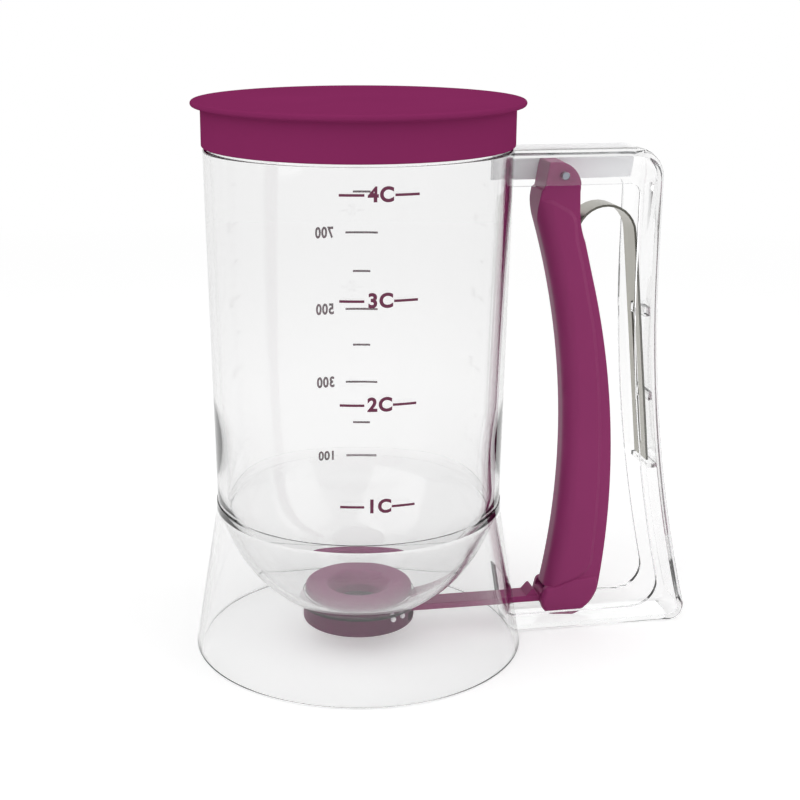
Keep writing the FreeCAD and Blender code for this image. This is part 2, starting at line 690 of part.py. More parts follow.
def make_valve_cap():
    """The cap under the bowl: a plate with the outlet, a wall round the spigot and the gate's rails."""
    wall = tube(CAP_R, CAP_R - CAP_WALL, CAP_BOTTOM_Z, FLOOR_Z - CAP_TOP_FIT)
    plate = tube(CAP_R, OUTLET_R, CAP_BOTTOM_Z, CAP_FLOOR_Z)
    cap = wall.fuse(plate).removeSplitter()
    foot = [e for e in cap.Edges if is_cap_foot(e)]
    cap = cap.makeFillet(CAP_EDGE_ROUND, foot)
    near = GATE_R + RAIL_FIT
    far = near + RAIL_W
    rail_x = (-RAIL_BACK, math.sqrt((CAP_R - CAP_WALL / 2) ** 2 - far ** 2))
    rail_z = (CAP_FLOOR_Z - CAP_PLATE / 2, SPIGOT_FOOT_Z - SPIGOT_FIT)
    for rail_y in ((near, far), (-far, -near)):
        cap = cap.fuse(block(rail_x, rail_y, rail_z))
    seal = disc(OUTLET_R + LIP_SEAL_W, CAP_FLOOR_Z - LIP_SEAL_T, CAP_FLOOR_Z)
    return cap.cut([seal, gate_slot(), cap_peg_holes()]).removeSplitter()


def is_cap_foot(edge):
    """True for the outer edge under the cap."""
    box = edge.BoundBox
    return abs(box.ZMax - CAP_BOTTOM_Z) < SAME and box.XMax > CAP_R - SAME


def make_lip_seal():
    """The soft ring round the outlet that wipes the gate's underside."""
    return tube(OUTLET_R + LIP_SEAL_W - BOND_GAP, OUTLET_R, CAP_FLOOR_Z - LIP_SEAL_T, CAP_FLOOR_Z)


def make_valve_seat_ring():
    """The purple ring in the bowl: a funnel mouth whose barrel reaches down to the gate."""
    low = GATE_TOP_Z + GATE_FIT
    flange_low = FLOOR_SEAT_Z + GASKET_T
    barrel_r = OUTLET_R + SEAT_BARREL_WALL
    outline = [
        (OUTLET_R, low),
        (barrel_r, low),
        (barrel_r, flange_low),
        (SEAT_R, flange_low),
        (SEAT_R, SEAT_TOP_Z - SEAT_ROUND),
        (SEAT_R - SEAT_ROUND, SEAT_TOP_Z),
        (OUTLET_R + SEAT_MOUTH_W, SEAT_TOP_Z),
    ]
    return revolve(outline)


def make_seat_gasket():
    """The soft ring between the seat ring's flange and the bowl's floor."""
    inner = OUTLET_R + SEAT_BARREL_WALL + SEAT_POCKET_FIT
    return tube(SEAT_R - GASKET_INSET, inner, FLOOR_SEAT_Z, FLOOR_SEAT_Z + GASKET_T)


def make_gate_slide():
    """The gate: a round plate under the outlet with its arm out to the lever, in one moulding."""
    plate = disc(GATE_R, GATE_BOTTOM_Z, GATE_TOP_Z)
    arm = block((0.0, HINGE_X), (-ARM_W / 2, ARM_W / 2), (GATE_BOTTOM_Z, GATE_TOP_Z))
    eye = cross_rod(HINGE_X, ARM_PIN_Z, ARM_EYE_R, ARM_W)
    peak_x = HINGE_X - ARM_PEAK_BACK
    peak = [
        vec(peak_x - ARM_PEAK_HALF, 0, ARM_PIN_Z),
        vec(peak_x, 0, GATE_TOP_Z + ARM_PEAK_H),
        vec(peak_x + ARM_PEAK_HALF, 0, ARM_PIN_Z),
    ]
    peak_face = Part.Face(Part.makePolygon(peak + peak[:1]))
    gate = plate.fuse([arm, eye, across(peak_face, ARM_W)]).removeSplitter()
    pin_hole = cross_rod(HINGE_X, ARM_PIN_Z, ARM_PIN_R + PIN_PRESS, ARM_W)
    recess = disc(DISC_R + BOND_GAP, GATE_TOP_Z - DISC_T, GATE_TOP_Z)
    return gate.cut(pin_hole).cut(recess)


def make_gate_seal_disc():
    """The soft disc let into the gate, which closes the seat ring's barrel."""
    return disc(DISC_R, GATE_TOP_Z - DISC_T, GATE_TOP_Z)


def make_arm_pivot_pin():
    """The steel pin across the arm's eye, whose ends ride in the lever's grooves."""
    return cross_rod(HINGE_X, ARM_PIN_Z, ARM_PIN_R, ARM_W + 2 * ARM_PIN_OVERHANG)


MAKERS = {
    "lid": make_lid,
    "cup_body": make_cup_body,
    "bowl_funnel": make_bowl_funnel,
    "base_skirt": make_base_skirt,
    "handle_frame": make_handle_frame,
    "trigger_lever": make_trigger_lever,
    "hinge_pin": make_hinge_pin,
    "leaf_spring": make_leaf_spring,
    "gate_slide": make_gate_slide,
    "gate_seal_disc": make_gate_seal_disc,
    "arm_pivot_pin": make_arm_pivot_pin,
    "valve_seat_ring": make_valve_seat_ring,
    "seat_gasket": make_seat_gasket,
    "valve_cap": make_valve_cap,
    "lip_seal": make_lip_seal,
    "cap_pegs": make_cap_pegs,
}


def main():
    """Make every piece and write it to its own file."""
    os.makedirs("parts", exist_ok=True)
    for node, make in MAKERS.items():
        shape = make()
        shape.exportStep(os.path.join("parts", node + ".step"))
        box = shape.BoundBox
        span = f"x {box.XMin:.2f}..{box.XMax:.2f} y {box.YMin:.2f}..{box.YMax:.2f}"
        span += f" z {box.ZMin:.2f}..{box.ZMax:.2f}"
        print(f"{node}: {len(shape.Solids)} solid, valid {shape.isValid()}, {shape.Volume:.1f} mm3, {span}")


main()
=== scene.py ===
"""Pancake batter dispenser: the looks of every piece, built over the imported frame.

A clear measuring cup with a round bowl and a flared foot, a push-on lid, and a clear channel handle
that holds a squeeze lever and its leaf spring. The classes below give lengths in millimetres, and the
meshes are in metres. The cup's axis is Z, the table is at z = 0 and the handle points along +X.
"""

import logging
import math
from dataclasses import dataclass, field
from enum import Enum
from typing import Callable, Sequence

import bmesh
import bpy
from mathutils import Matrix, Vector


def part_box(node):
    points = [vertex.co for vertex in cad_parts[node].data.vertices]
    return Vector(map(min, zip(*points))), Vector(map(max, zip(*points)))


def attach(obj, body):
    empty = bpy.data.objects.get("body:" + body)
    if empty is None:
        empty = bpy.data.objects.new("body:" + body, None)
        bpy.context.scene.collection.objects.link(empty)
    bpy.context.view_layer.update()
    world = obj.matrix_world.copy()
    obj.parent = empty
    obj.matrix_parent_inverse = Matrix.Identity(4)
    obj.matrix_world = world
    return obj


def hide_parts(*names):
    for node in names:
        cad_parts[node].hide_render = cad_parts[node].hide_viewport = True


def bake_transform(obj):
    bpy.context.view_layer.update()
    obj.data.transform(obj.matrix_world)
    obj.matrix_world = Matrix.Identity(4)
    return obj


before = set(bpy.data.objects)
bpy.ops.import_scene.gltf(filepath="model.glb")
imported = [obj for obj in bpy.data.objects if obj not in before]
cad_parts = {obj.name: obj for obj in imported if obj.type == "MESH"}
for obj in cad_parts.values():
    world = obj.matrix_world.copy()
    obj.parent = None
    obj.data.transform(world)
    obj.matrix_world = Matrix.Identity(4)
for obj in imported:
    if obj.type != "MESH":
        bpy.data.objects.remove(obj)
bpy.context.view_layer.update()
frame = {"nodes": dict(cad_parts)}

LOG = logging.getLogger("batter_dispenser")
MM = 0.001
FULL_TURN = 2 * math.pi
ROUND_STEP = math.radians(12)
ROD_FLATS = 48

Point = tuple[float, float]
Corner = tuple[float, float, float]
Span = tuple[float, float]


class Combine(Enum):
    """How one solid is put together with another."""

    CUT = "DIFFERENCE"
    JOIN = "UNION"
    SHARE = "INTERSECT"


class Wall(Enum):
    """Which side of the cup a mark is printed on."""

    FRONT = "front"
    BACK = "back"


def linear(code: str) -> tuple[float, float, float, float]:
    """Turn an sRGB hex colour into the linear values that a shader takes.

    Args:
        code: the colour as #RRGGBB.

    Returns:
        Linear red, green, blue and an alpha of 1.
    """
    shares = [int(code[at:at + 2], 16) / 255 for at in (1, 3, 5)]
    red, green, blue = [s / 12.92 if s <= 0.04045 else ((s + 0.055) / 1.055) ** 2.4 for s in shares]
    return red, green, blue, 1.0


def add_node(tree: bpy.types.NodeTree, kind: str, inputs: dict | None = None, **settings) -> bpy.types.Node:
    """Add one shader node with its settings, values and links.

    Args:
        tree: the node tree to add to.
        kind: the node's type name.
        inputs: values, or sockets to link, by the name or number of the node's input.
        **settings: properties of the node itself.

    Returns:
        The new node.
    """
    node = tree.nodes.new(kind)
    for name, value in settings.items():
        setattr(node, name, value)
    for name, value in (inputs or {}).items():
        if isinstance(value, bpy.types.NodeSocket):
            tree.links.new(value, node.inputs[name])
        else:
            node.inputs[name].default_value = value
    return node


def blank_material(name: str) -> bpy.types.Material:
    """Make a material with an empty node tree."""
    material = bpy.data.materials.new(name)
    material.use_nodes = True
    material.node_tree.nodes.clear()
    return material


def object_noise(tree: bpy.types.NodeTree, crest_mm: float, detail: float) -> bpy.types.NodeSocket:
    """Noise that stays with its piece.

    Args:
        tree: the node tree to add to.
        crest_mm: the distance from crest to crest in millimetres.
        detail: how many finer layers it has.

    Returns:
        The socket with the noise.
    """
    place = add_node(tree, "ShaderNodeTexCoord")
    noise = add_node(tree, "ShaderNodeTexNoise", {
        "Vector": place.outputs["Object"], "Scale": 1 / (crest_mm * MM), "Detail": detail})
    return noise.outputs["Fac"]


def two_tones(
    tree: bpy.types.NodeTree, share: bpy.types.NodeSocket, first: str, second: str,
) -> bpy.types.NodeSocket:
    """A colour that goes from one sRGB hex code to another as a share goes from 0 to 1."""
    tone = add_node(tree, "ShaderNodeMix", {
        "Factor": share, "A": linear(first), "B": linear(second)}, data_type="RGBA")
    return tone.outputs["Result"]


def relief_of(
    tree: bpy.types.NodeTree, height: bpy.types.NodeSocket, strength: float, height_mm: float,
) -> bpy.types.NodeSocket:
    """The bent normals of a surface whose height a socket gives."""
    relief = add_node(tree, "ShaderNodeBump", {
        "Height": height, "Strength": strength, "Distance": height_mm * MM})
    return relief.outputs["Normal"]


def spread(
    tree: bpy.types.NodeTree, share: bpy.types.NodeSocket, low: float, high: float,
) -> bpy.types.NodeSocket:
    """A value that goes from low to high as a share goes from 0 to 1."""
    span = add_node(tree, "ShaderNodeMapRange", {"Value": share, "To Min": low, "To Max": high})
    return span.outputs["Result"]


@dataclass(frozen=True)
class ClearStyrene:
    """Clear styrene acrylonitrile, injection moulded and polished by its mould.

    It is glass clear with a bright skin and a high index, so its edges gather dark and bright lines.
    Its faint flow ripple, about 30 mm from crest to crest, bends what is seen through it a little.
    """

    name: str = "clear_styrene_acrylonitrile_moulded"
    tint: str = "#FEFEFE"
    shadow_tint: str = "#D9DADA"
    depth_tint: str = "#BABABA"
    depth_per_metre: float = 42.0
    gloss: float = 0.16
    index: float = 1.49
    roughness: float = 0.012
    ripple_mm: float = 30.0
    ripple_height_mm: float = 0.05
    ripple_strength: float = 0.5

    def material(self) -> bpy.types.Material:
        """Build the material, which lets shadow rays pass as the real clear plastic does."""
        material = blank_material(self.name)
        tree = material.node_tree
        ripple = object_noise(tree, self.ripple_mm, 1.0)
        plastic = add_node(tree, "ShaderNodeBsdfPrincipled", {
            "Base Color": linear(self.tint), "Roughness": self.roughness, "IOR": self.index,
            "Transmission Weight": 1.0, "Specular IOR Level": self.gloss,
            "Normal": relief_of(tree, ripple, self.ripple_strength, self.ripple_height_mm)})
        passing = add_node(tree, "ShaderNodeBsdfTransparent", {"Color": linear(self.shadow_tint)})
        ray = add_node(tree, "ShaderNodeLightPath")
        surface = add_node(tree, "ShaderNodeMixShader", {
            0: ray.outputs["Is Shadow Ray"], 1: plastic.outputs["BSDF"], 2: passing.outputs["BSDF"]})
        depth = add_node(tree, "ShaderNodeVolumeAbsorption", {
            "Color": linear(self.depth_tint), "Density": self.depth_per_metre})
        add_node(tree, "ShaderNodeOutputMaterial", {
            "Surface": surface.outputs["Shader"], "Volume": depth.outputs["Volume"]})
        return material


@dataclass(frozen=True)
class SatinPolypropylene:
    """Coloured polypropylene, injection moulded against a fine satin mould face.

    It is evenly coloured right through, with a soft sheen, a grain too fine to see that only spreads
    the sheen, and slow changes of tone where the melt cooled at different rates.
    """

    name: str
    colour: str
    deep_colour: str
    roughness: float = 0.36
    gloss: float = 0.16
    grain_mm: float = 0.5
    grain_height_mm: float = 0.01
    grain_strength: float = 0.25
    flow_mm: float = 45.0
    index: float = 1.49

    def material(self) -> bpy.types.Material:
        """Build the material."""
        material = blank_material(self.name)
        tree = material.node_tree
        flow = object_noise(tree, self.flow_mm, 2.0)
        grain = object_noise(tree, self.grain_mm, 2.0)
        plastic = add_node(tree, "ShaderNodeBsdfPrincipled", {
            "Base Color": two_tones(tree, flow, self.colour, self.deep_colour),
            "Roughness": spread(tree, grain, self.roughness - 0.03, self.roughness + 0.05),
            "IOR": self.index, "Specular IOR Level": self.gloss,
            "Normal": relief_of(tree, grain, self.grain_strength, self.grain_height_mm)})
        add_node(tree, "ShaderNodeOutputMaterial", {"Surface": plastic.outputs["BSDF"]})
        return material


@dataclass(frozen=True)
class SoftSilicone:
    """Pressure-moulded silicone rubber: matt, slightly see-through and faintly blotched."""

    name: str = "moulded_silicone_rubber"
    colour: str = "#4E2340"
    deep_colour: str = "#421C35"
    blotch_mm: float = 6.0
    roughness: float = 0.55
    index: float = 1.41
    see_through: float = 0.15
    see_through_mm: float = 2.0

    def material(self) -> bpy.types.Material:
        """Build the material."""
        material = blank_material(self.name)
        tree = material.node_tree
        blotch = object_noise(tree, self.blotch_mm, 3.0)
        rubber = add_node(tree, "ShaderNodeBsdfPrincipled", {
            "Base Color": two_tones(tree, blotch, self.colour, self.deep_colour),
            "Roughness": self.roughness, "IOR": self.index,
            "Subsurface Weight": self.see_through, "Subsurface Scale": self.see_through_mm * MM})
        add_node(tree, "ShaderNodeOutputMaterial", {"Surface": rubber.outputs["BSDF"]})
        return material


@dataclass(frozen=True)
class RolledSteel:
    """Stainless spring steel, rolled to strip or drawn to wire, with fine lines along its length."""

    name: str
    colour: str = "#B1AFA6"
    line_colour: str = "#97958C"
    roughness: float = 0.3
    line_mm: float = 0.35
    line_length_mm: float = 40.0

    def material(self) -> bpy.types.Material:
        """Build the material. The rolling lines run along Z, the strip's long way."""
        material = blank_material(self.name)
        tree = material.node_tree
        place = add_node(tree, "ShaderNodeTexCoord")
        across = 1 / (self.line_mm * MM)
        along = 1 / (self.line_length_mm * MM)
        drawn = add_node(tree, "ShaderNodeMapping", {
            "Vector": place.outputs["Object"], "Scale": (along, across, along)})
        lines = add_node(tree, "ShaderNodeTexNoise", {
            "Vector": drawn.outputs["Vector"], "Scale": 1.0, "Detail": 2.0})
        share = lines.outputs["Fac"]
        steel = add_node(tree, "ShaderNodeBsdfPrincipled", {
            "Base Color": two_tones(tree, share, self.colour, self.line_colour), "Metallic": 1.0,
            "Roughness": spread(tree, share, self.roughness - 0.06, self.roughness + 0.08)})
        add_node(tree, "ShaderNodeOutputMaterial", {"Surface": steel.outputs["BSDF"]})
        return material


@dataclass(frozen=True)
class PadPrintInk:
    """Two-part ink, pad printed on the clear wall: dense, matt and a little uneven at its edges."""

    name: str = "pad_print_ink_plum"
    colour: str = "#5A1638"
    thin_colour: str = "#6A2446"
    mottle_mm: float = 0.8
    roughness: float = 0.6
    index: float = 1.5

    def material(self) -> bpy.types.Material:
        """Build the material."""
        material = blank_material(self.name)
        tree = material.node_tree
        mottle = object_noise(tree, self.mottle_mm, 2.0)
        ink = add_node(tree, "ShaderNodeBsdfPrincipled", {
            "Base Color": two_tones(tree, mottle, self.colour, self.thin_colour),
            "Roughness": self.roughness, "IOR": self.index})
        add_node(tree, "ShaderNodeOutputMaterial", {"Surface": ink.outputs["BSDF"]})
        return material


def clear_selection() -> None:
    """Deselect everything."""
    for obj in bpy.context.selected_objects:
        obj.select_set(False)


def take(obj: bpy.types.Object) -> None:
    """Make one object the only selected one, and the active one."""
    clear_selection()
    obj.select_set(True)
    bpy.context.view_layer.objects.active = obj


def start_editing(obj: bpy.types.Object) -> None:
    """Enter edit mode on an object with all of it selected."""
    take(obj)
    bpy.ops.object.mode_set(mode="EDIT")
    bpy.ops.mesh.select_all(action="SELECT")


def stop_editing() -> None:
    """Leave edit mode."""
    bpy.ops.object.mode_set(mode="OBJECT")


def arc(centre: Point, radius: float, start: float, end: float) -> list[Point]:
    """Points along an arc in a plane.

    Args:
        centre: the arc's centre.
        radius: its radius.
        start: the angle of its first point, in degrees.
        end: the angle of its last point, in degrees.

    Returns:
        The points from start to end, one for each small step of angle.
    """
    turn = math.radians(end - start)
    steps = max(2, math.ceil(abs(turn) / ROUND_STEP))
    angles = [math.radians(start) + turn * at / steps for at in range(steps + 1)]
    return [(centre[0] + radius * math.cos(a), centre[1] + radius * math.sin(a)) for a in angles]


def centre_of(first: Point, middle: Point, last: Point) -> Point:
    """The centre of the circle through three points."""
    (ax, az), (bx, bz), (cx, cz) = first, middle, last
    twice = 2 * (ax * (bz - cz) + bx * (cz - az) + cx * (az - bz))
    a2, b2, c2 = ax * ax + az * az, bx * bx + bz * bz, cx * cx + cz * cz
    x = (a2 * (bz - cz) + b2 * (cz - az) + c2 * (az - bz)) / twice
    z = (a2 * (cx - bx) + b2 * (ax - cx) + c2 * (bx - ax)) / twice
    return x, z


def arc_through(first: Point, middle: Point, last: Point, steps: int) -> list[Point]:
    """Points along the arc through three points.

    Args:
        first: where it starts.
        middle: a point that it passes.
        last: where it ends.
        steps: how many chords the arc is drawn with.

    Returns:
        The points from first to last.
    """
    (ax, az), (bx, bz), (cx, cz) = first, middle, last
    x, z = centre_of(first, middle, last)
    radius = math.hypot(ax - x, az - z)
    begin = math.atan2(az - z, ax - x)
    finish = math.atan2(cz - z, cx - x)
    passing = (math.atan2(bz - z, bx - x) - begin) % FULL_TURN
    turn = (finish - begin) % FULL_TURN
    if passing > turn:
        turn -= FULL_TURN
    return [
        (x + radius * math.cos(begin + turn * at / steps), z + radius * math.sin(begin + turn * at / steps))
        for at in range(steps + 1)
    ]


def rounded(corners: Sequence[Corner]) -> list[Point]:
    """A closed outline with each corner rounded.

    Args:
        corners: (x, z, radius) for each corner, in order. A radius of 0 leaves it sharp.

    Returns:
        The outline's points.
    """
    outline: list[Point] = []
    for at, (x, z, radius) in enumerate(corners):
        if radius <= 0:
            outline.append((x, z))
            continue
        here = Vector((x, z))
        back = (Vector(corners[at - 1][:2]) - here).normalized()
        ahead = (Vector(corners[(at + 1) % len(corners)][:2]) - here).normalized()
        half = back.angle(ahead) / 2
        centre = here + (back + ahead).normalized() * (radius / math.sin(half))
        begin = here + back * (radius / math.tan(half)) - centre
        turn = math.pi - 2 * half
        if back.x * ahead.y - back.y * ahead.x > 0:
            turn = -turn
        steps = max(2, math.ceil(abs(turn) / ROUND_STEP))
        base = math.atan2(begin.y, begin.x)
        for step in range(steps + 1):
            angle = base + turn * step / steps
            outline.append((centre.x + radius * math.cos(angle), centre.y + radius * math.sin(angle)))
    return outline


def trace(name: str, outline: Sequence[Point], closed: bool = True) -> bpy.types.Object:
    """Draw an outline in the XZ plane, extruding one point after another.

    Args:
        name: the object's name.
        outline: its (x, z) points in millimetres.
        closed: whether the last point is joined to the first.

    Returns:
        An object that holds the outline as edges.
    """
    clear_selection()
    bpy.ops.mesh.primitive_plane_add(size=MM, location=(0, 0, 0))
    obj = bpy.context.object
    obj.name = name
    obj.data.name = name
    bpy.ops.object.mode_set(mode="EDIT")
    bpy.ops.mesh.select_all(action="SELECT")
    bpy.ops.mesh.merge(type="CENTER")
    bpy.ops.transform.translate(value=(outline[0][0] * MM, 0, outline[0][1] * MM))
    for here, there in zip(outline, outline[1:]):
        step = ((there[0] - here[0]) * MM, 0, (there[1] - here[1]) * MM)
        bpy.ops.mesh.extrude_region_move(TRANSFORM_OT_translate={"value": step})
    if closed:
        sheet = bmesh.from_edit_mesh(obj.data)
        sheet.verts.ensure_lookup_table()
        for vertex in sheet.verts:
            vertex.select_set(False)
        sheet.verts[0].select_set(True)
        sheet.verts[-1].select_set(True)
        bmesh.update_edit_mesh(obj.data)
        bpy.ops.mesh.edge_face_add()
    stop_editing()
    return obj


def turn_round(
    name: str, outline: Sequence[Point], steps: int = 192, closed: bool = True,
) -> bpy.types.Object:
    """Spin an outline of (radius, height) points round the cup's axis.

    Args:
        name: the object's name.
        outline: the points in millimetres.
        steps: how many flats a full turn has.
        closed: whether the outline is a ring's section, rather than a line from axis to axis.

    Returns:
        The closed, turned solid.
    """
    obj = trace(name, outline, closed)
    start_editing(obj)
    bpy.ops.mesh.spin(steps=steps, angle=FULL_TURN, center=(0, 0, 0), axis=(0, 0, 1))
    bpy.ops.mesh.select_all(action="SELECT")
    bpy.ops.mesh.remove_doubles(threshold=0.002 * MM)
    bpy.ops.mesh.normals_make_consistent(inside=False)
    stop_editing()
    return obj


def plate(name: str, outline: Sequence[Point], width: float) -> bpy.types.Object:
    """Extrude an outline in the XZ plane to a solid, half of its width on each side of the plane.

    Args:
        name: the object's name.
        outline: the points in millimetres.
        width: the solid's width along Y.

    Returns:
        The closed solid.
    """
    obj = trace(name, outline)
    start_editing(obj)
    bpy.ops.mesh.edge_face_add()
    bpy.ops.transform.translate(value=(0, -width / 2 * MM, 0))
    bpy.ops.mesh.extrude_region_move(TRANSFORM_OT_translate={"value": (0, width * MM, 0)})
    bpy.ops.mesh.select_all(action="SELECT")
    bpy.ops.mesh.normals_make_consistent(inside=False)
    stop_editing()
    return obj


def brick(name: str, x: Span, y: Span, z: Span, edge: float = 0.0) -> bpy.types.Object:
    """A block between three pairs of limits, with its edges rounded.

    Args:
        name: the object's name.
        x: low and high x in millimetres.
        y: low and high y.
        z: low and high z.
        edge: the radius of its edges, or 0 for sharp ones.

    Returns:
        The block, with its place in its mesh.
    """
    clear_selection()
    centre = [(span[0] + span[1]) / 2 * MM for span in (x, y, z)]
    bpy.ops.mesh.primitive_cube_add(size=1.0, location=(0, 0, 0))
    obj = bpy.context.object
    obj.name = name
    obj.data.name = name
    start_editing(obj)
    bpy.ops.transform.resize(value=[(span[1] - span[0]) * MM for span in (x, y, z)])
    bpy.ops.transform.translate(value=centre)
    if edge > 0:
        bpy.ops.mesh.bevel(offset=edge * MM, segments=4, affect="EDGES")
    stop_editing()
    return obj


def cross_rod(name: str, x: float, z: float, radius: float, width: float) -> bpy.types.Object:
    """A round rod along Y, centred on the XZ plane.

    Args:
        name: the object's name.
        x: the rod's place in millimetres.
        z: the rod's height.
        radius: its radius.
        width: its length.

    Returns:
        The rod, with its place in its mesh.
    """
    return plate(name, arc((x, z), radius, 0.0, 360.0 - 360.0 / ROD_FLATS), width)


def combine(body: bpy.types.Object, tool: bpy.types.Object, how: Combine) -> None:
    """Cut a tool out of a body, join it on or keep what both share, and remove the tool.

    Args:
        body: the solid that stays.
        tool: the solid that is used up.
        how: whether it cuts, joins, or leaves only what both share.
    """
    step = body.modifiers.new(how.name.lower(), "BOOLEAN")
    step.operation = how.value
    step.solver = "EXACT"
    step.object = tool
    take(body)
    bpy.ops.object.modifier_apply(modifier=step.name)
    bpy.data.objects.remove(tool)


def soften(obj: bpy.types.Object, radius: float, segments: int = 3, above: float = 40.0) -> None:
    """Round the edges that are sharper than an angle.

    Args:
        obj: the solid.
        radius: the rounding's radius in millimetres.
        segments: how many strips each rounding has.
        above: the least angle between two faces, in degrees, that is rounded.
    """
    step = obj.modifiers.new("soften", "BEVEL")
    step.width = radius * MM
    step.segments = segments
    step.limit_method = "ANGLE"
    step.angle_limit = math.radians(above)
    take(obj)
    bpy.ops.object.modifier_apply(modifier=step.name)


def soften_where(
    obj: bpy.types.Object, radius: float, chosen: Callable[[Vector, Vector], bool], segments: int = 4,
) -> None:
    """Round the edges that a test picks by their two ends.

    Args:
        obj: the solid.
        radius: the rounding's radius in millimetres.
        chosen: says from an edge's two ends, in millimetres, whether it is rounded.
        segments: how many strips each rounding has.
    """
    take(obj)
    bpy.ops.object.mode_set(mode="EDIT")
    bpy.ops.mesh.select_mode(type="EDGE")
    bpy.ops.mesh.select_all(action="DESELECT")
    sheet = bmesh.from_edit_mesh(obj.data)
    for edge in sheet.edges:
        first, second = [vertex.co / MM for vertex in edge.verts]
        if chosen(first, second):
            edge.select_set(True)
    bmesh.update_edit_mesh(obj.data)
    bpy.ops.mesh.bevel(offset=radius * MM, segments=segments, affect="EDGES")
    bpy.ops.mesh.select_mode(type="VERT")
    stop_editing()


def smooth(obj: bpy.types.Object, angle: float = 35.0) -> None:
    """Shade a piece smooth, apart from edges sharper than an angle in degrees."""
    take(obj)
    bpy.ops.object.shade_smooth_by_angle(angle=math.radians(angle))
    step = obj.modifiers.new("wide faces lead", "WEIGHTED_NORMAL")
    step.weight = 100
    step.keep_sharp = True
    bpy.ops.object.modifier_apply(modifier=step.name)


def dress(obj: bpy.types.Object, material: bpy.types.Material) -> None:
    """Give a piece or a CAD node one material all over."""
    obj.data.materials.clear()
    obj.data.materials.append(material)


@dataclass(frozen=True)
class Finishes:
    """The materials of the whole dispenser, made once and shared."""

    clear: bpy.types.Material = field(default_factory=lambda: ClearStyrene().material())
    lever: bpy.types.Material = field(default_factory=lambda: SatinPolypropylene(
        "plum_polypropylene_satin", "#94346B", "#8B3064").material())
    lid: bpy.types.Material = field(default_factory=lambda: SatinPolypropylene(
        "plum_polypropylene_smooth", "#8C2F62", "#832B5B", roughness=0.36, gloss=0.0).material())
    # The seat ring's plum is lightened above the other plum parts: painted light, for how brightly it shows
    # at the bottom of the bowl.
    valve: bpy.types.Material = field(default_factory=lambda: SatinPolypropylene(
        "plum_polypropylene_seat_ring_painted_light", "#AC5E8C", "#A05480", roughness=0.4).material())
    # The cap's plum is darkened far below the other plum parts: painted shade, for the shade under the bowl
    # inside the foot.
    cap: bpy.types.Material = field(default_factory=lambda: SatinPolypropylene(
        "plum_polypropylene_cap_painted_shade", "#5E2346", "#551D3F", roughness=0.4).material())
    silicone: bpy.types.Material = field(default_factory=lambda: SoftSilicone().material())
    strip: bpy.types.Material = field(default_factory=lambda: RolledSteel("rolled_spring_steel").material())
    # A darker, rougher steel for the strip's thin side faces than for its broad faces.
    strip_edge: bpy.types.Material = field(default_factory=lambda: RolledSteel(
        "spring_steel_darker_edge", colour="#6C6B64", line_colour="#5A5953", roughness=0.45).material())
    milky: bpy.types.Material = field(default_factory=lambda: SatinPolypropylene(
        "natural_polypropylene_peg", "#EDEAEC", "#E2DDE1", roughness=0.3).material())
    handle: bpy.types.Material = field(default_factory=lambda: ClearStyrene(
        "clear_styrene_acrylonitrile_handle", depth_per_metre=12.0).material())
    # An opaque pale finish for the channel's inner face in the top bar: painted shade, standing in for the
    # grey shade inside the channel.
    painted_shade_face: bpy.types.Material = field(default_factory=lambda: SatinPolypropylene(
        "painted_shade_channel_face", "#F6F8FA", "#F1F3F5", roughness=0.6).material())
    pin: bpy.types.Material = field(default_factory=lambda: RolledSteel(
        "drawn_steel_pin", colour="#9A9DA6", line_colour="#8B8E97", roughness=0.25).material())
    ink: bpy.types.Material = field(default_factory=lambda: PadPrintInk().material())


@dataclass
class Dresser:
    """Finishes pieces and says which body they ride on.

    Args:
        nodes: the CAD nodes by name.
    """

    nodes: dict[str, bpy.types.Object]

    def piece(
        self, obj: bpy.types.Object, body: str, material: bpy.types.Material, slot: str, *stands_for: str,
        crease: float = 35.0,
    ) -> None:
        """Finish a modelled piece.

        Args:
            obj: the piece.
            body: the body that it rides on.
            material: its finish.
            slot: the record's material slot; not used.
            *stands_for: the CAD nodes that it replaces.
            crease: the angle in degrees past which two faces meet in a visible line.
        """
        dress(obj, material)
        smooth(obj, crease)
        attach(obj, body)
        if stands_for:
            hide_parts(*stands_for)
        LOG.info("%s rides on %s, %d faces", obj.name, body, len(obj.data.polygons))

    def node(self, name: str, material: bpy.types.Material) -> None:
        """Finish a CAD node whose shape stays."""
        dress(self.nodes[name], material)
        LOG.info("CAD node %s keeps its shape", name)


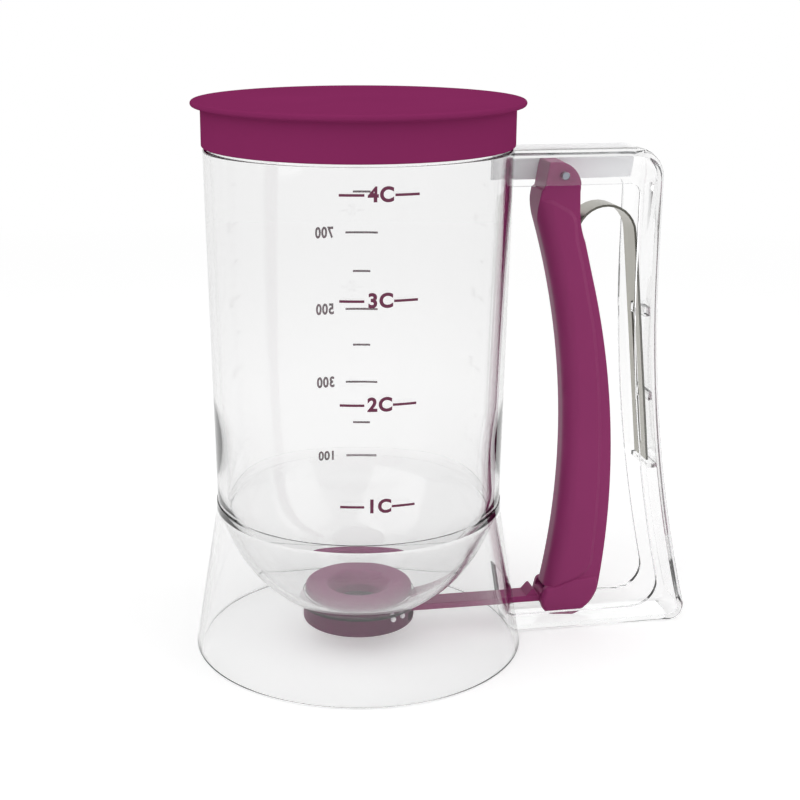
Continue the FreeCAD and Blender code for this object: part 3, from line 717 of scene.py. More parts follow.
@dataclass
class CupShape:
    """The sizes of the clear cup, bowl and foot, which the other pieces are set against."""

    seam_z: float = 53.0
    seam_r: float = 48.6
    shoulder_z: float = 172.4
    shoulder_r: float = 50.6
    neck_r: float = 49.4
    wall: float = 2.4
    bowl_r: float = 47.5
    bowl_wall: float = 2.2
    floor_r: float = 20.8
    floor_z: float = 14.3
    floor_edge_h: float = 1.0
    foot_r: float = 57.06
    skirt_top_r: float = 48.9
    skirt_wall: float = 2.0
    flare_turn_h: float = 5.5
    bond_gap: float = 0.04

    @property
    def top_z(self) -> float:
        """Height of the cup's rim."""
        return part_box("cup_body")[1].z / MM

    @property
    def bowl_z(self) -> float:
        """Height of the bowl's centre."""
        return self.floor_z + self.floor_edge_h + math.sqrt(self.bowl_r ** 2 - self.floor_r ** 2)

    def cup_r(self, z: float) -> float:
        """Outer radius of the cup wall at a height."""
        rise = (z - self.seam_z) / (self.shoulder_z - self.seam_z)
        return self.seam_r + (self.shoulder_r - self.seam_r) * rise

    def skirt_r(self, z: float) -> float:
        """Outer radius of the straight part of the foot's skirt at a height."""
        slope = (self.foot_r - self.skirt_top_r) / (self.seam_z - self.flare_turn_h / 2)
        return self.foot_r - slope * z

    def outer_r(self, z: float) -> float:
        """Outer radius of the cup or the skirt at a height."""
        return self.cup_r(z) if z >= self.seam_z else max(self.skirt_r(z), self.skirt_top_r)

    def skirt_side(self, inset: float, low_z: float) -> list[Point]:
        """The skirt's outline on one face, from the seam down to a height.

        Args:
            inset: how far the face lies inside the outer one.
            low_z: where the outline ends.

        Returns:
            The (radius, height) points.
        """
        slope = (self.foot_r - self.skirt_top_r) / (self.seam_z - self.flare_turn_h / 2)
        turn = slope * self.flare_turn_h / 2
        top = (self.skirt_top_r - inset, self.seam_z - self.bond_gap)
        middle = (self.skirt_top_r - inset + turn / 4, self.seam_z - self.flare_turn_h / 2)
        bend = (self.skirt_top_r - inset + turn, self.seam_z - self.flare_turn_h)
        return arc_through(top, middle, bend, 6) + [(self.skirt_r(low_z) - inset, low_z)]


@dataclass
class MeasuringCup:
    """The clear mouldings: cup wall, bowl and flared foot, bonded at the seam."""

    shape: CupShape
    rim_round: float = 0.45
    edge_round: float = 0.25
    foot_round: float = 0.7
    fade_h: float = 32.0
    fade_steps: int = 12
    ledge_h: float = 2.5
    seam_groove: float = 0.15
    pocket_r: float = 19.2
    barrel_hole_r: float = 10.3
    floor_seat_z: float = 15.8
    spigot_r: float = 17.8
    spigot_wall: float = 1.5
    spigot_foot_z: float = 11.2
    slot_half: float = 11.9
    slot_z: Span = (9.2, 12.2)
    window_half: float = 7.5
    window_z: Span = (7.6, 22.0)
    window_round: float = 1.0

    def wall_line(self) -> list[Point]:
        """The cup wall's outline, from where the bowl fades into it, over the rim and down to the seam."""
        shape = self.shape
        bore = shape.shoulder_r - shape.wall
        inner = shape.bowl_r - shape.bowl_wall
        rim, edge = self.rim_round, self.edge_round
        line = []
        for step in range(1, self.fade_steps + 1):
            share = step / self.fade_steps
            z = shape.bowl_z + self.fade_h * share
            ease = share * share * (3 - 2 * share)
            line.append((inner + (shape.cup_r(z) - shape.wall - inner) * ease, z))
        line.append((bore, shape.shoulder_z))
        line += arc((bore + rim, shape.top_z - rim), rim, 180.0, 90.0)
        line += arc((shape.neck_r - rim, shape.top_z - rim), rim, 90.0, 0.0)
        line += arc((shape.neck_r + edge, shape.shoulder_z + edge), edge, 180.0, 270.0)
        line += arc((shape.shoulder_r - rim, shape.shoulder_z - rim), rim, 90.0, 0.0)
        line += [(shape.seam_r, shape.seam_z + self.seam_groove)]
        return line

    def foot_line(self) -> list[Point]:
        """The foot's outline, from the seam down its outside and up its inside to the bowl."""
        shape = self.shape
        outside = shape.skirt_side(0.0, self.foot_round)
        inside = shape.skirt_side(shape.skirt_wall, self.edge_round)
        foot_out = (shape.foot_r - self.foot_round, self.foot_round)
        foot_in = (shape.foot_r - shape.skirt_wall + self.edge_round, self.edge_round)
        line = [(shape.seam_r - self.seam_groove, shape.seam_z)] + outside
        line += arc(foot_out, self.foot_round, -12.0, -90.0)
        line += arc(foot_in, self.edge_round, -90.0, -168.0)
        ledge_z = shape.seam_z - self.ledge_h
        line += [point for point in reversed(inside) if self.edge_round < point[1] < ledge_z - 1.0]
        return line

    def bowl_line(self) -> list[Point]:
        """The bowl's outline, from under the seam down to the spigot, and up inside to the lip."""
        shape = self.shape
        centre = (0.0, shape.bowl_z)
        inner = shape.bowl_r - shape.bowl_wall
        ledge_z = shape.seam_z - self.ledge_h
        start = -math.degrees(math.acos(self.pocket_r / inner))
        high = -math.degrees(math.asin((shape.bowl_z - ledge_z + 0.6) / shape.bowl_r))
        low = -math.degrees(math.acos(shape.floor_r / shape.bowl_r))
        spigot_in = self.spigot_r - self.spigot_wall
        line = self.sphere(centre, shape.bowl_r, high, low)
        line += [(shape.floor_r, shape.floor_z), (self.spigot_r, shape.floor_z)]
        line += [(self.spigot_r, self.spigot_foot_z), (spigot_in, self.spigot_foot_z)]
        line.append((spigot_in, shape.floor_z))
        line += [(self.barrel_hole_r, shape.floor_z), (self.barrel_hole_r, self.floor_seat_z)]
        line += [(self.pocket_r, self.floor_seat_z)]
        return line + self.sphere(centre, inner, start, 0.0)

    def sphere(self, centre: Point, radius: float, start: float, end: float) -> list[Point]:
        """Points along the bowl's round wall, one for every few degrees."""
        steps = max(4, math.ceil(abs(end - start) / 4))
        turn = (end - start) / steps
        angles = [math.radians(start + turn * at) for at in range(steps + 1)]
        return [(centre[0] + radius * math.cos(a), centre[1] + radius * math.sin(a)) for a in angles]

    def build(self, dresser: Dresser, finishes: Finishes) -> None:
        """Make and dress the three mouldings as the one clear vessel that their bond makes of them."""
        shape = self.shape
        vessel = turn_round("clear_vessel", self.wall_line() + self.foot_line() + self.bowl_line(), 256)
        slot_x = (0.0, self.spigot_r + 1)
        combine(vessel, brick("slot", slot_x, (-self.slot_half, self.slot_half), self.slot_z), Combine.CUT)
        window_x = (shape.skirt_top_r - 4, shape.foot_r + 2)
        window_y = (-self.window_half, self.window_half)
        window = brick("window", window_x, window_y, self.window_z, self.window_round)
        combine(vessel, window, Combine.CUT)
        dresser.piece(
            vessel, "cup", finishes.clear, "clear_plastic", "cup_body", "bowl_funnel", "base_skirt")


@dataclass
class PushOnLid:
    """The plum lid: a flat plate with a thin flange, and a skirt round the cup's neck."""

    shape: CupShape
    fit: float = 0.3
    wall: float = 1.3
    lift_gap: float = 0.9
    plate_t: float = 2.1
    flange_w: float = 3.2
    flange_t: float = 1.9
    edge_round: float = 0.6
    dish_r: float = 51.0
    dish_depth: float = 0.25
    flange_fillet: float = 0.8
    box_gap: float = 0.02

    def build(self, dresser: Dresser, finishes: Finishes) -> None:
        """Make and dress the lid, whose top is dished a hair inside its rim."""
        inner = self.shape.neck_r + self.fit
        outer = inner + self.wall
        low = self.shape.shoulder_z + self.lift_gap
        seat = self.shape.top_z
        top = seat + self.plate_t - self.box_gap
        edge = outer + self.flange_w
        half = self.flange_t / 2
        turn, fillet = self.edge_round, self.flange_fillet
        fillet_z = top - self.flange_t - fillet
        outline = [(0.0, seat), (inner - turn, seat), (inner, seat - turn), (inner, low)]
        outline += arc((outer - turn, low + turn), turn, -90.0, 0.0)
        outline += [(outer, fillet_z)]
        outline += arc((outer + fillet, fillet_z), fillet, 180.0, 90.0)
        outline += arc((edge - half, top - half), half, -90.0, 90.0)
        dish_z = top - self.dish_depth
        outline += [(self.dish_r + turn, top), (self.dish_r, dish_z), (0.0, dish_z)]
        lid = turn_round("lid_shell", outline, 192, closed=False)
        dresser.piece(lid, "lid", finishes.lid, "plum_plastic", "lid")


@dataclass
class ChannelHandle:
    """The clear handle: a channel from the cup's neck round to its foot, open to the cup."""

    shape: CupShape
    width: float = 18.4
    wall: float = 1.6
    web: float = 2.6
    side_x: float = 102.2
    upright_h: float = 36.3
    lean_r: float = 510.0
    grip_depths: tuple[float, float, float] = (11.7, 8.4, 7.0)
    grip_rounds: Span = (3.5, 9.0)
    outer_rounds: Span = (10.0, 5.5)
    edge_round: float = 2.2
    lip_round: float = 0.35
    # Where the painted shade on the top bar's inner face ends, towards the upright and downwards.
    shade_face_x: float = 95.5
    shade_face_low: float = 11.7
    hinge: Point = (67.7, 162.7)
    pin_hole_r: float = 1.3
    strip_end: Point = (102.3, 61.5)
    strip_top_x: float = 94.0
    strip_leg_h: float = 80.1
    keeper_rises: Span = (22.5, 52.5)
    keeper_t: float = 3.0
    keeper_w: float = 2.0
    strip_gap: float = 0.7
    shelf_front: float = 0.8
    shelf_t: float = 1.6

    @property
    def top_z(self) -> float:
        """Height of the handle's top."""
        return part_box("handle_frame")[1].z / MM

    def region(self, depths: tuple[float, float, float], rounds: Span) -> list[Point]:
        """The closed outline inside the handle's outer line.

        Args:
            depths: how far it lies in at the top, the side and the foot.
            rounds: its corners' radii at the top and at the foot.

        Returns:
            The outline's points, from the axis along the foot, up the leaning side and back.
        """
        top_depth, side_depth, foot_depth = depths
        top_round, foot_round = rounds
        lean_z = self.top_z - self.upright_h
        lean = (self.side_x + self.lean_r, lean_z)
        reach = self.lean_r + side_depth
        turn_z = foot_depth + foot_round
        turn_x = lean[0] - math.sqrt((reach + foot_round) ** 2 - (lean_z - turn_z) ** 2)
        meet = math.degrees(math.atan2(lean_z - turn_z, lean[0] - turn_x))
        side_x = self.side_x - side_depth
        corner = (side_x - top_round, self.top_z - top_depth - top_round)
        outline = [(0.0, foot_depth)] + arc((turn_x, turn_z), foot_round, -90.0, meet)
        steps = 14
        for at in range(1, steps + 1):
            angle = math.radians(180.0 + meet * (1 - at / steps))
            outline.append((lean[0] + reach * math.cos(angle), lean_z + reach * math.sin(angle)))
        outline += arc(corner, top_round, 0.0, 90.0)
        outline.append((0.0, self.top_z - top_depth))
        return outline

    def web_x(self, z: float) -> float:
        """Inner face of the web at a height below the straight part."""
        lean_z = self.top_z - self.upright_h
        reach = self.lean_r + self.web
        return self.side_x + self.lean_r - math.sqrt(reach ** 2 - (lean_z - z) ** 2)

    def cup_tool(self) -> bpy.types.Object:
        """The outside of cup and skirt, a hair larger, to shape the handle's ends to."""
        shape = self.shape
        gap = shape.bond_gap
        outline = [(0.0, -2.0), (shape.foot_r + gap + 0.4, -2.0)]
        side = [(radius + gap, z) for radius, z in reversed(shape.skirt_side(0.0, 0.0))]
        outline += side + [(shape.shoulder_r + gap, shape.shoulder_z), (0.0, shape.shoulder_z)]
        return turn_round("cup_tool", outline, 256, closed=False)

    def build(self, dresser: Dresser, finishes: Finishes) -> None:
        """Make and dress the handle, and dress the pin in its top bar."""
        handle = plate("handle_channel", self.region((0.0, 0.0, 0.0), self.outer_rounds), self.width)
        half = self.width / 2
        soften_where(handle, self.edge_round, lambda a, b: self.on_side(a, b, half) and max(a.x, b.x) > 1.0)
        grip = plate("grip", self.region(self.grip_depths, self.grip_rounds), self.width + 4)
        combine(handle, grip, Combine.CUT)
        channel_rounds = (self.outer_rounds[0] - self.web, self.outer_rounds[1] - self.web)
        channel_line = self.region((self.web, self.web, self.web), channel_rounds)
        combine(handle, plate("channel", channel_line, self.width - 2 * self.wall), Combine.CUT)
        combine(handle, self.cup_tool(), Combine.CUT)
        combine(handle, cross_rod("pin_hole", *self.hinge, self.pin_hole_r, self.width + 2), Combine.CUT)
        self.add_keepers(handle)
        soften(handle, self.lip_round, 2, 50.0)
        dresser.piece(handle, "cup", finishes.handle, "clear_plastic", "handle_frame")
        # The top bar's inner face gets the painted shade finish.
        self.paint_top_bar_shade(handle, finishes.painted_shade_face)
        pin_low, pin_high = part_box("hinge_pin")
        pin_r = (pin_high.z - pin_low.z) / 2 / MM
        pin_l = (pin_high.y - pin_low.y) / MM
        pin = cross_rod("pivot_pin", *self.hinge, pin_r, pin_l)
        soften(pin, 0.3, 2, 60.0)
        dresser.piece(pin, "cup", finishes.pin, "steel", "hinge_pin")

    def paint_top_bar_shade(self, handle: bpy.types.Object, painted_shade_face: bpy.types.Material) -> None:
        """Give the far wall's inner face in the top bar an opaque pale finish: painted shade, which renders
        light grey like the shaded inside of the channel.
        """
        start_editing(handle)
        low = self.top_z - self.shade_face_low
        bpy.ops.mesh.bisect(plane_co=(self.shade_face_x * MM, 0, 0), plane_no=(1, 0, 0))
        bpy.ops.mesh.select_all(action="SELECT")
        bpy.ops.mesh.bisect(plane_co=(0, 0, low * MM), plane_no=(0, 0, 1))
        stop_editing()
        handle.data.materials.append(painted_shade_face)
        inside = self.width / 2 - self.wall
        for face in handle.data.polygons:
            middle = face.center / MM
            in_bar = middle.z > low and middle.x < self.shade_face_x
            if in_bar and face.normal.y < -0.9 and abs(middle.y - inside) < 0.05:
                face.material_index = 1

    def add_keepers(self, handle: bpy.types.Object) -> None:
        """Join on the ribs behind the strip, their tongues through its slot, and the shelf under its end."""
        inside = self.width / 2 - self.wall / 2
        end_x, end_z = self.strip_end
        lean = (end_x - self.strip_top_x) / self.strip_leg_h
        for rise in self.keeper_rises:
            z = end_z + rise
            strip_x = end_x - lean * rise
            span_z = (z, z + self.keeper_t)
            rib_x = (strip_x + self.strip_gap, self.web_x(z) + self.web / 2)
            rib = brick("rib", rib_x, (-inside, inside), span_z)
            combine(handle, rib, Combine.JOIN)
            half = self.keeper_w / 2
            tongue = brick("tongue", (strip_x - self.strip_gap, self.web_x(z)), (-half, half), span_z)
            combine(handle, tongue, Combine.JOIN)
        shelf_z = end_z - self.strip_gap
        shelf_x = (end_x - self.shelf_front, self.web_x(end_z) + self.web / 2)
        shelf = brick("shelf", shelf_x, (-inside, inside), (shelf_z - self.shelf_t, shelf_z))
        combine(handle, shelf, Combine.JOIN)

    @staticmethod
    def on_side(first: Vector, second: Vector, half: float) -> bool:
        """True for an edge that lies in one of the two side faces."""
        return abs(abs(first.y) - half) < 0.01 and abs(first.y - second.y) < 0.01


@dataclass
class SqueezeLever:
    """The plum lever: a bowed grip whose panel stands proud of the back edge, the head and the foot."""

    hinge: Point = (67.7, 162.7)
    arm_z: float = 10.55
    width: float = 14.4
    skin: float = 1.2
    front_wall: float = 3.2
    panel_proud: float = 0.75
    panel_slope_w: float = 1.3
    front_round: float = 5.5
    back_round: float = 0.6
    foot_round: float = 1.5
    hollow_z: Span = (24.0, 124.0)
    pad_x: float = 72.7
    pad_z: Span = (128.0, 150.5)
    bore_r: float = 1.31
    fork_half: float = 4.3
    fork_back: float = 4.2
    fork_top_z: float = 15.25
    head_back: tuple[Point, ...] = ((8.6, -22.7), (7.0, -17.5), (6.4, -12.2))
    head_top: tuple[Point, ...] = ((6.2, -5.7), (4.2, 1.4), (-1.1, 4.3))
    head_notch: tuple[Point, ...] = ((-4.9, 4.3), (-6.4, -4.7), (-7.2, -4.9))
    head_front: tuple[Point, ...] = ((-7.4, -6.2), (-7.9, -12.2), (-6.5, -19.5))
    foot_toe: tuple[Point, ...] = ((-2.2, -0.05), (-1.4, -3.55), (1.8, -5.35))
    foot_heel: tuple[Point, ...] = ((8.8, -5.95), (15.3, -2.25), (18.7, 5.05))
    foot_top: tuple[Point, ...] = ((18.2, 8.4), (10.0, 8.0), (2.8, 5.4), (-1.1, 4.9))
    panel_start: Point = (-7.55, -8.4)
    panel_foot: tuple[Point, ...] = ((65.4, 15.2), (70.5, 15.4), (77.2, 17.6))
    panel_heel: tuple[Point, ...] = ((78.6, 18.2), (82.4, 21.4), (84.0, 27.6))
    panel_crease: tuple[Point, ...] = ((84.3, 32.0), (85.2, 62.0), (80.6, 112.0))
    panel_neck: tuple[Point, ...] = ((76.0, 132.6), (74.0, 140.2))
    panel_top: tuple[Point, ...] = ((73.2, 145.4), (72.2, 149.2), (69.6, 151.6))
    panel_end: Point = (64.2, 154.6)
    trim_gap: float = 0.05
    trim_depth: float = 45
    trim_half_turn: int = 23

    def from_hinge(self, x: float, z: float) -> Point:
        """A place given from the hinge."""
        return self.hinge[0] + x, self.hinge[1] + z

    def from_arm(self, x: float, z: float) -> Point:
        """A place given from the hinge in x and from the arm's pin in z."""
        return self.hinge[0] + x, self.arm_z + z

    def finger_side(self) -> list[Point]:
        """The bowed side that the fingers pull, from the neck down to the foot."""
        top, foot = self.from_hinge(-6.5, -19.5), self.from_arm(-0.7, 6.35)
        return arc_through(top, (self.hinge[0] + 3.9, (top[1] + foot[1]) / 2), foot, 36)

    def outline(self) -> list[Point]:
        """The lever's side view."""
        points = self.finger_side()
        foot_back = self.from_arm(*self.foot_heel[-1])
        points += self.foot_line(8, 12)
        hand_top = self.from_hinge(11.7, -34.9)
        middle = (self.hinge[0] + 20.8, (hand_top[1] + foot_back[1]) / 2)
        points += arc_through(foot_back, middle, hand_top, 32)[1:]
        points += arc_through(*[self.from_hinge(*place) for place in self.head_back], 8)
        points += arc_through(*[self.from_hinge(*place) for place in self.head_top], 12)
        points += [self.from_hinge(*place) for place in self.head_notch]
        points += arc_through(*[self.from_hinge(*place) for place in self.head_front], 8)[:-1]
        return points

    def foot_line(self, toe_steps: int, heel_steps: int) -> list[Point]:
        """The foot's side view, from its toe round to its heel."""
        toe = arc_through(*[self.from_arm(*place) for place in self.foot_toe], toe_steps)
        return toe + arc_through(*[self.from_arm(*place) for place in self.foot_heel], heel_steps)

    def panel_outline(self) -> list[Point]:
        """The raised grip panel's side view: the finger side, and a crease inside the back edge."""
        points = [self.from_hinge(*self.panel_start)] + self.finger_side() + list(self.panel_foot)
        points += arc_through(*self.panel_heel, 6) + arc_through(*self.panel_crease, 20)
        points += list(self.panel_neck) + arc_through(*self.panel_top, 6)
        return points + [self.panel_end]

    def build(self, dresser: Dresser, finishes: Finishes) -> None:
        """Make and dress the lever."""
        core_width = self.width - 2 * self.panel_proud
        lever = plate("lever_grip", self.outline(), core_width)
        soften(lever, self.back_round, 2, 60.0)
        combine(lever, self.raised_panel(core_width), Combine.JOIN)
        combine(lever, self.front_shape(), Combine.SHARE)
        combine(lever, self.foot_ball(), Combine.JOIN)
        self.hollow(lever)
        dresser.piece(lever, "lever", finishes.lever, "plum_plastic", "trigger_lever", crease=20.0)

    def foot_ball(self) -> bpy.types.Object:
        """The rounded foot under the grip panel, at the lever's full width."""
        outline = self.foot_line(5, 8) + [self.from_arm(*place) for place in self.foot_top]
        ball = plate("foot_ball", outline, self.width)
        soften(ball, self.foot_round, 4, 60.0)
        return ball

    def raised_panel(self, core_width: float) -> bpy.types.Object:
        """The grip panel, whose sides rise over a short slope to the lever's full width."""
        panel = plate("panel", self.panel_outline(), core_width)
        start_editing(panel)
        bpy.ops.mesh.select_mode(type="FACE")
        bpy.ops.mesh.select_all(action="DESELECT")
        sheet = bmesh.from_edit_mesh(panel.data)
        for face in sheet.faces:
            if abs(face.normal.y) > 0.99:
                face.select_set(True)
        bmesh.update_edit_mesh(panel.data)
        bpy.ops.mesh.inset(thickness=self.panel_slope_w * MM, depth=self.panel_proud * MM)
        bpy.ops.mesh.select_mode(type="VERT")
        stop_editing()
        return panel

    def front_shape(self) -> bpy.types.Object:
        """A curved bar that the lever is trimmed to, with the soft round of the finger side."""
        side = self.finger_side()
        x, z = centre_of(side[0], side[18], side[-1])
        radius = math.hypot(side[0][0] - x, side[0][1] - z) + self.trim_gap
        reach = radius + self.trim_depth
        angles = [math.radians(at) for at in range(-self.trim_half_turn, self.trim_half_turn + 1)]
        front = [(x + radius * math.cos(a), z + radius * math.sin(a)) for a in angles]
        back = [(x + reach * math.cos(a), z + reach * math.sin(a)) for a in reversed(angles)]
        bar = plate("front_shape", front + back, self.width)
        soften_where(bar, self.front_round, lambda a, b: max(
            abs(math.hypot(a.x - x, a.z - z) - radius),
            abs(math.hypot(b.x - x, b.z - z) - radius),
            20 * abs(a.y - b.y)) < 0.1, 8)
        return bar

    def hollow(self, lever: bpy.types.Object) -> None:
        """Cut the pocket behind the grip, the spring's recess, the pin's bore and the foot's fork."""
        inside = self.width / 2 - self.skin
        low, high = self.hollow_z
        front = [(x + self.front_wall, z) for x, z in self.finger_side() if low < z < high]
        pocket = front + [(110.0, low), (110.0, high)]
        combine(lever, plate("pocket", pocket, 2 * inside), Combine.CUT)
        combine(lever, brick("recess", (self.pad_x, 110.0), (-inside, inside), self.pad_z), Combine.CUT)
        combine(lever, cross_rod("bore", *self.hinge, self.bore_r, self.width + 2), Combine.CUT)
        fork_x = (50.0, self.hinge[0] + self.fork_back)
        fork = brick("fork", fork_x, (-self.fork_half, self.fork_half), (0.0, self.fork_top_z))
        combine(lever, fork, Combine.CUT)


@dataclass
class ReturnSpring:
    """The leaf spring: one steel strip with a short leg, a bow and a long slotted leg."""

    width: float = 11.4
    thickness: float = 0.8
    bow: Point = (83.6, 141.6)
    bow_r: float = 10.4
    tip_z: float = 130.0
    end: Point = (102.3, 61.5)
    slot_w: float = 2.6
    slot_z: Span = (66.0, 118.0)
    edge_round: float = 0.12

    def side_view(self) -> list[Point]:
        """The strip's closed outline, with several points along each leg."""
        reach = self.end[0] - self.bow[0]
        drop = self.bow[1] - self.end[1]
        leave = math.acos(self.bow_r / math.hypot(reach, drop)) - math.atan2(drop, reach)
        out = (math.cos(leave), math.sin(leave))
        half = self.thickness / 2
        sides = []
        for offset in (half, -half):
            radius = self.bow_r + offset
            tip = (self.bow[0] - radius, self.tip_z)
            bend = arc(self.bow, radius, 180.0, math.degrees(leave))
            end = (self.end[0] + out[0] * offset, self.end[1] + out[1] * offset)
            legs = self.between(tip, bend[0], 4) + bend + self.between(bend[-1], end, 20)[1:] + [end]
            sides.append(legs)
        return sides[0] + sides[1][::-1]

    @staticmethod
    def between(first: Point, second: Point, steps: int) -> list[Point]:
        """Points on a straight line from the first point up to, but not with, the second."""
        (x, z), (end_x, end_z) = first, second
        shares = [at / steps for at in range(steps)]
        return [(x + (end_x - x) * share, z + (end_z - z) * share) for share in shares]

    def build(self, dresser: Dresser, finishes: Finishes) -> None:
        """Make and dress the strip, which sits between the handle and the lever."""
        strip = plate("return_spring", self.side_view(), self.width)
        low, high = self.slot_z
        half = self.slot_w / 2
        slot = brick("slot", (90.0, 110.0), (-half, half), (low, high))
        soften_where(slot, half * 0.98, lambda a, b: abs(a.x - b.x) > 1.0, 6)
        combine(strip, slot, Combine.CUT)
        soften(strip, self.edge_round, 1, 60.0)
        dress(strip, finishes.strip)
        strip.data.materials.append(finishes.strip_edge)
        # The strip's thin side faces take the darker steel.
        for face in strip.data.polygons:
            face.material_index = 1 if abs(face.normal.y) > 0.6 else 0
        smooth(strip)
        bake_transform(strip)
        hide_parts("leaf_spring")
        LOG.info("return_spring bends between cup and lever")


@dataclass
class GateValve:
    """The valve under the bowl: a seat ring inside, a cap outside, and the gate between them."""

    seat_r: float = 19.0
    outlet_r: float = 8.5
    mouth_w: float = 2.5
    barrel_wall: float = 1.6
    barrel_low_z: float = 11.85
    flange_low_z: float = 16.7
    top_z: float = 19.8
    cap_r: float = 19.5
    cap_wall: float = 1.6
    cap_z: Span = (7.6, 14.2)
    cap_plate: float = 1.6
    cap_round: float = 0.9
    slot_half: float = 11.9
    slot_top_z: float = 12.2
    seal_w: float = 2.4
    seal_t: float = 0.8
    gate_r: float = 11.6
    gate_z: Span = (9.4, 11.7)
    gate_recess: Span = (10.25, 10.68)
    arm_w: float = 8.0
    arm_round: float = 0.25
    eye: Point = (67.7, 10.55)
    eye_r: float = 2.7
    eye_hole_r: float = 1.21
    catch_x: float = 63.0
    catch_h: float = 2.9

    def seat_ring(self) -> bpy.types.Object:
        """The ring in the bowl, with a funnel mouth and a soft outer edge."""
        mouth = self.outlet_r + self.mouth_w
        corners = [
            (self.outlet_r, self.barrel_low_z, 0.2),
            (self.outlet_r + self.barrel_wall, self.barrel_low_z, 0.2),
            (self.outlet_r + self.barrel_wall, self.flange_low_z, 0.0),
            (self.seat_r, self.flange_low_z, 0.4),
            (self.seat_r, self.top_z, 1.2),
            (mouth, self.top_z, 1.4),
            (self.outlet_r, self.barrel_low_z + 3.2, 1.0),
        ]
        return turn_round("seat_ring", rounded(corners), 128)

    def cap(self) -> bpy.types.Object:
        """The cap outside, open towards the handle for the gate."""
        low, high = self.cap_z
        floor = low + self.cap_plate
        bore = self.cap_r - self.cap_wall
        seal_r = self.outlet_r + self.seal_w
        corners = [
            (self.outlet_r, low, 0.3),
            (self.cap_r, low, self.cap_round),
            (self.cap_r, high, 0.3),
            (bore, high, 0.2),
            (bore, floor, 0.4),
            (seal_r, floor, 0.0),
            (seal_r, floor - self.seal_t, 0.0),
            (self.outlet_r, floor - self.seal_t, 0.0),
        ]
        cap = turn_round("outlet_cap", rounded(corners), 128)
        slot_z = (floor + 0.01, self.slot_top_z)
        slot = brick("slot", (0.0, self.cap_r + 1), (-self.slot_half, self.slot_half), slot_z)
        combine(cap, slot, Combine.CUT)
        return cap

    def gate(self) -> bpy.types.Object:
        """The gate: a round plate with a recess for its seal, and the arm with its catch and its eye."""
        low, high = self.gate_z
        recess_r, recess_z = self.gate_recess
        outline = [(0.0, low), (self.gate_r, low), (self.gate_r, high), (recess_r, high)]
        outline += [(recess_r, recess_z), (0.0, recess_z)]
        gate = turn_round("gate_and_arm", outline, 128, closed=False)
        eye_x, eye_z = self.eye
        half = self.arm_w / 2
        arm = brick("arm", (recess_r + 0.5, eye_x), (-half, half), (low + 0.01, high - 0.01), self.arm_round)
        combine(gate, arm, Combine.JOIN)
        combine(gate, cross_rod("eye", eye_x, eye_z, self.eye_r, self.arm_w - 0.02), Combine.JOIN)
        catch = rounded([
            (self.catch_x - 3.0, eye_z, 0.0), (self.catch_x + 2.2, eye_z, 0.0),
            (self.catch_x + 1.9, high, 0.0),
            (self.catch_x, high + self.catch_h, 0.7), (self.catch_x - 2.6, high, 0.0)])
        combine(gate, plate("catch", catch, self.arm_w - 0.6), Combine.JOIN)
        combine(gate, cross_rod("eye_hole", eye_x, eye_z, self.eye_hole_r, self.arm_w + 2), Combine.CUT)
        return gate

    def build(self, dresser: Dresser, finishes: Finishes) -> None:
        """Make and dress the seat ring and the cap, and dress the valve's other pieces."""
        # The seat ring takes the lightened plum: painted light.
        dresser.piece(self.seat_ring(), "cup", finishes.valve, "plum_plastic", "valve_seat_ring")
        # The cap takes the darkened plum: painted shade.
        dresser.piece(self.cap(), "cup", finishes.cap, "plum_plastic", "valve_cap")
        dresser.piece(self.gate(), "gate", finishes.lever, "plum_plastic", "gate_slide")
        dresser.node("gate_seal_disc", finishes.silicone)
        dresser.node("seat_gasket", finishes.silicone)
        dresser.node("lip_seal", finishes.silicone)
        dresser.node("arm_pivot_pin", finishes.pin)
        dresser.node("cap_pegs", finishes.milky)


@dataclass(frozen=True)
class Mark:
    """One printed line or word: its wall, its azimuth in degrees, its height and its size."""

    wall: Wall
    azimuth: float
    z: float
    length: float = 0.0
    word: str = ""


